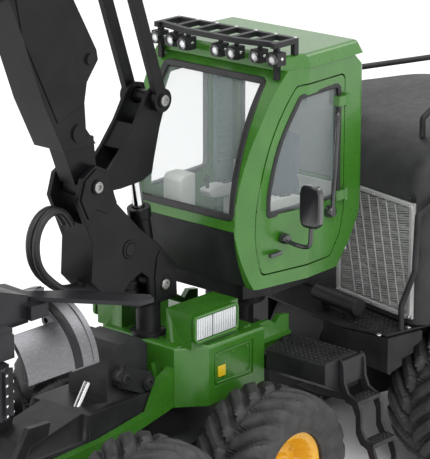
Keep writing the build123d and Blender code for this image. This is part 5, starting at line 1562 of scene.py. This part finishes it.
@dataclass
class Crane:
    """Rivet heads, bosses, side panels, valve block ribs, spool caps and cylinder rings of the crane."""

    foot: tuple[float, float] = (24.6, 97.6)
    barrel_pin: tuple[float, float] = (-0.3, 66.0)
    link_pin: tuple[float, float] = (0.3, 115.5)
    top_link: tuple[float, float] = (34.14, 214.9)
    knee: tuple[float, float] = (58.44, 197.0)
    pillar_half: float = 5.5
    boom_half: float = 5.25
    bar_half: float = 6.2
    boom_angle: float = 71.2

    def rivets(self) -> None:
        """Sets the chromed rivet ends with hexagonal sockets on every pin."""
        rows = {
            "pillar": [(self.barrel_pin, self.pillar_half + 0.5, 1.0)],
            "boom": [(self.foot, self.pillar_half + 0.9, 1.0), (self.knee, self.boom_half + 0.6, 0.75)],
            "bars": [(self.link_pin, self.bar_half + 0.5, 1.0), (self.top_link, self.bar_half + 0.5, 1.0)],
        }
        for body, row in rows.items():
            sites = [Site(moved(x, side * reach, z), (0, side, 0), size)
                     for (x, z), reach, size in row for side in (1, -1)]
            spread(body + "_rivet_heads", stud_mesh(1.5, 0.45, 0.75), sites, body, STEEL)

    def bosses(self) -> None:
        """Adds the raised rings round the pins and the stepped boss on the pillar's cheek."""
        ring = [(0.0, 1.75 * MM), (0.34 * MM, 1.8 * MM), (0.4 * MM, 2.1 * MM), (0.34 * MM, 2.45 * MM),
                (0.0, 2.6 * MM), (-0.3 * MM, 2.6 * MM), (-0.3 * MM, 1.75 * MM)]
        meshes = []
        for x, z in ((12.6, 78.4), self.barrel_pin):
            for side in (1, -1):
                centre = Vector(moved(x, side * self.pillar_half, z)) * MM
                meshes.append(turned(ring + ring[:1], centre, Vector((0, side, 0)), 36))
        for side in (1, -1):
            low, high = sorted((side * (self.pillar_half - 0.1), side * (self.pillar_half + 0.45)))
            meshes.append(slab([(17.4, 92.0), (20.9, 100.6), (24.6, 102.4), (28.6, 100.0), (30.3, 95.2),
                                (27.6, 89.6), (24.6, 91.6), (21.2, 90.0)], low, high, 0.2))
            meshes.append(slab([(-3.9, 62.4), (-3.6, 69.9), (1.2, 75.6), (2.6, 74.0), (3.4, 68.6),
                                (3.0, 62.4)], low, high - side * 0.1, 0.2))
        add_piece("pillar_bosses", united(meshes), "pillar", CRANE)

    def along_boom(self, run: float, aside: float) -> tuple[float, float]:
        """Returns the point a run up the boom from its foot, and aside to its front."""
        turn = math.radians(self.boom_angle)
        return (self.foot[0] + run * math.cos(turn) + aside * math.sin(turn),
                self.foot[1] + run * math.sin(turn) - aside * math.cos(turn))

    def boom_details(self) -> None:
        """Adds the raised side panels of the boom and the ribs of its valve block."""
        panels = []
        for side in (1, -1):
            low, high = sorted((side * (self.boom_half - 0.1), side * (self.boom_half + 0.3)))
            outline = [self.along_boom(run, aside) for run, aside in
                       ((22.0, -3.6), (22.0, 6.2), (48.0, 9.4), (92.0, 3.4), (92.0, -3.0), (46.0, -4.0),
                        (40.0, -5.2))]
            panels.append(slab(outline, low, high, 0.15))
        add_piece("boom_side_panels", united(panels), "boom", CRANE)
        ribs = []
        turn = math.radians(self.boom_angle)
        for number in range(7):
            x, z = 52.0 + (1.1 + number * 1.7) * math.cos(turn), 150.0 + (1.1 + number * 1.7) * math.sin(turn)
            x, z = x + 4.55 * math.sin(turn), z - 4.55 * math.cos(turn)
            ribs.append(Site(moved(x, 0.0, z), (math.sin(turn), 0, -math.cos(turn))))
        spread("valve_block_ribs", pad_form(7.6, 0.8, 0.5), ribs, "boom", HEAD)
        spools = [Site(self.spool_place(number, side), (0, side, 0), 0.55)
                  for number in range(4) for side in (1, -1)]
        spread("valve_spool_caps", stud_mesh(1.6, 0.6, 0.8), spools, "boom", HEAD)

    def spool_place(self, number: int, side: int) -> Point:
        """Returns the outer end of one valve spool."""
        turn = math.radians(self.boom_angle)
        run = 2.0 + number * 2.8
        x = 52.0 + run * math.cos(turn) + 2.6 * math.sin(turn)
        z = 150.0 + run * math.sin(turn) - 2.6 * math.cos(turn)
        return moved(x, side * 5.2, z)

    def cylinder_rings(self) -> None:
        """Adds the gland ring and the ribs of the lift cylinder's barrel."""
        start = Vector(moved(self.barrel_pin[0], 0, self.barrel_pin[1])) * MM
        end = Vector(moved(5.6, 0, 99.6)) * MM
        along = (end - start).normalized()
        profile = [(18.2, 2.6), (18.2, 3.0), (18.5, 3.15), (20.9, 3.15), (21.1, 3.0), (21.1, 1.75),
                   (20.6, 1.72), (20.6, 2.6), (18.2, 2.6)]
        rings = [turned([(a * MM, r * MM) for a, r in profile], start, along, 36)]
        for place in (4.4, 6.2, 8.0):
            low, high = place - 0.4, place + 0.4
            loop = [(low, 2.6), (low + 0.1, 2.95), (high - 0.1, 2.95), (high, 2.6), (low, 2.6)]
            rings.append(turned([(a * MM, r * MM) for a, r in loop], start, along, 36))
        add_piece("lift_gland_rings", united(rings), "barrel", CRANE)

    def build(self) -> None:
        """Builds every detail of the crane."""
        self.rivets()
        self.bosses()
        self.boom_details()
        self.cylinder_rings()


@dataclass
class Head:
    """A black band painted on each knife as its dark reflection, a raised edge strip on each knife, chained
    roller teeth and bolts of the harvester head.
    """

    circle_z: float = 55.5
    claw: float = 17.0
    knife_low: float = 36.0
    hinge_y: float = 8.0

    def claw_strip(self, side: int, radius: float, low_x: float, high_x: float,
                   depth: float) -> bpy.types.Mesh:
        """Builds a curved strip on the claw's outer face.

        Args:
            side: 1 for the left claw, -1 for the right.
            radius: The strip's inner radius, in millimetres.
            low_x: Where it starts along the machine.
            high_x: Where it ends.
            depth: How thick it is.

        Returns:
            A closed mesh in place.
        """
        verts, faces, steps = [], [], 28
        for step in range(steps + 1):
            turn = math.radians(80.0 - 74.0 * step / steps)
            for reach, x in ((radius, low_x), (radius + depth, low_x + 0.15), (radius + depth, high_x - 0.15),
                             (radius, high_x)):
                verts.append(Vector(moved(x, side * reach * math.cos(turn),
                                          self.circle_z + reach * math.sin(turn))) * MM)
        for step in range(steps):
            for corner in range(4):
                ahead = (corner + 1) % 4
                faces.append((step * 4 + corner, step * 4 + ahead,
                              step * 4 + 4 + ahead, step * 4 + 4 + corner))
        faces += [(0, 1, 2, 3), (steps * 4 + 3, steps * 4 + 2, steps * 4 + 1, steps * 4)]
        return outward(verts, faces)

    def build(self) -> None:
        """Builds every detail of the head."""
        for side, body in ((1, "left_knife"), (-1, "right_knife")):
            # A black strip across each knife's curved silver face: a painted dark reflection.
            add_piece(body + "_dark_band", self.claw_strip(side, self.claw - 0.02, 41.6, 44.4, 0.25), body,
                      HEAD, smooth_deg=40)
            edge = self.claw_strip(side, self.claw - 0.02, self.knife_low + 0.1, 38.0, 0.3)
            add_piece(body + "_edge", edge, body, KNIFE, smooth_deg=40)
            sites = [Site(moved(x, side * self.hinge_y, 69.75), (0, 0, 1), 0.5) for x in (38.4, 43.2)]
            spread(body + "_hinge_bolts", stud_mesh(1.6, 0.6, 0.8), sites, body, CHROME)
        tops = [Site(moved(x, y, 79.0), (0, 0, 1), 0.6) for x in (62.0, 68.0, 74.0) for y in (-5.2, 5.2)]
        spread("head_cover_bolts", stud_mesh(1.6, 0.55, 0.8), tops, "head", CHROME)
        plates = [slab([(62.5, 78.6), (74.5, 78.6), (74.5, 79.6), (62.5, 79.6)], -4.0, 4.0, 0.2),
                  slab([(91.0, 69.6), (97.0, 69.6), (97.0, 73.2), (91.0, 76.6)], 7.3, 7.8, 0.15),
                  slab([(91.0, 69.6), (97.0, 69.6), (97.0, 73.2), (91.0, 76.6)], -7.8, -7.3, 0.15)]
        add_piece("head_cover_plates", united(plates), "head", HEAD)
        for side, body in ((1, "left_roller"), (-1, "right_roller")):
            rows = []
            for tooth in range(8):
                turn = math.radians(tooth * 45)
                out = Vector((math.cos(turn), math.sin(turn), 0))
                rows += [Site(tuple(Vector(moved(68.0, side * 12.4, z)) + out * 4.65), tuple(out))
                         for z in (51.6, 54.2, 56.8, 59.4, 62.0)]
            spread(body + "_studs", stud_mesh(0.42, 0.3, 0.0, 8), rows, body, CHROME)


def main() -> None:
    """Builds every sub-assembly around the frame and dresses the rest."""
    logging.basicConfig(level=logging.INFO, format="%(message)s")
    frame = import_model()
    Studio().build()
    done = Hoses().build() | Wheels(frame).build()
    CabTrim().build()
    done |= CabInside().build() | FrontBody().build()
    RoofRack().build()
    DoorParts().build()
    RearBody().build()
    Hubs(frame).build()
    Crane().build()
    Head().build()
    done.add("door_fittings")
    Dressing(frame).build(done)


if __name__ == "__main__":
    main()
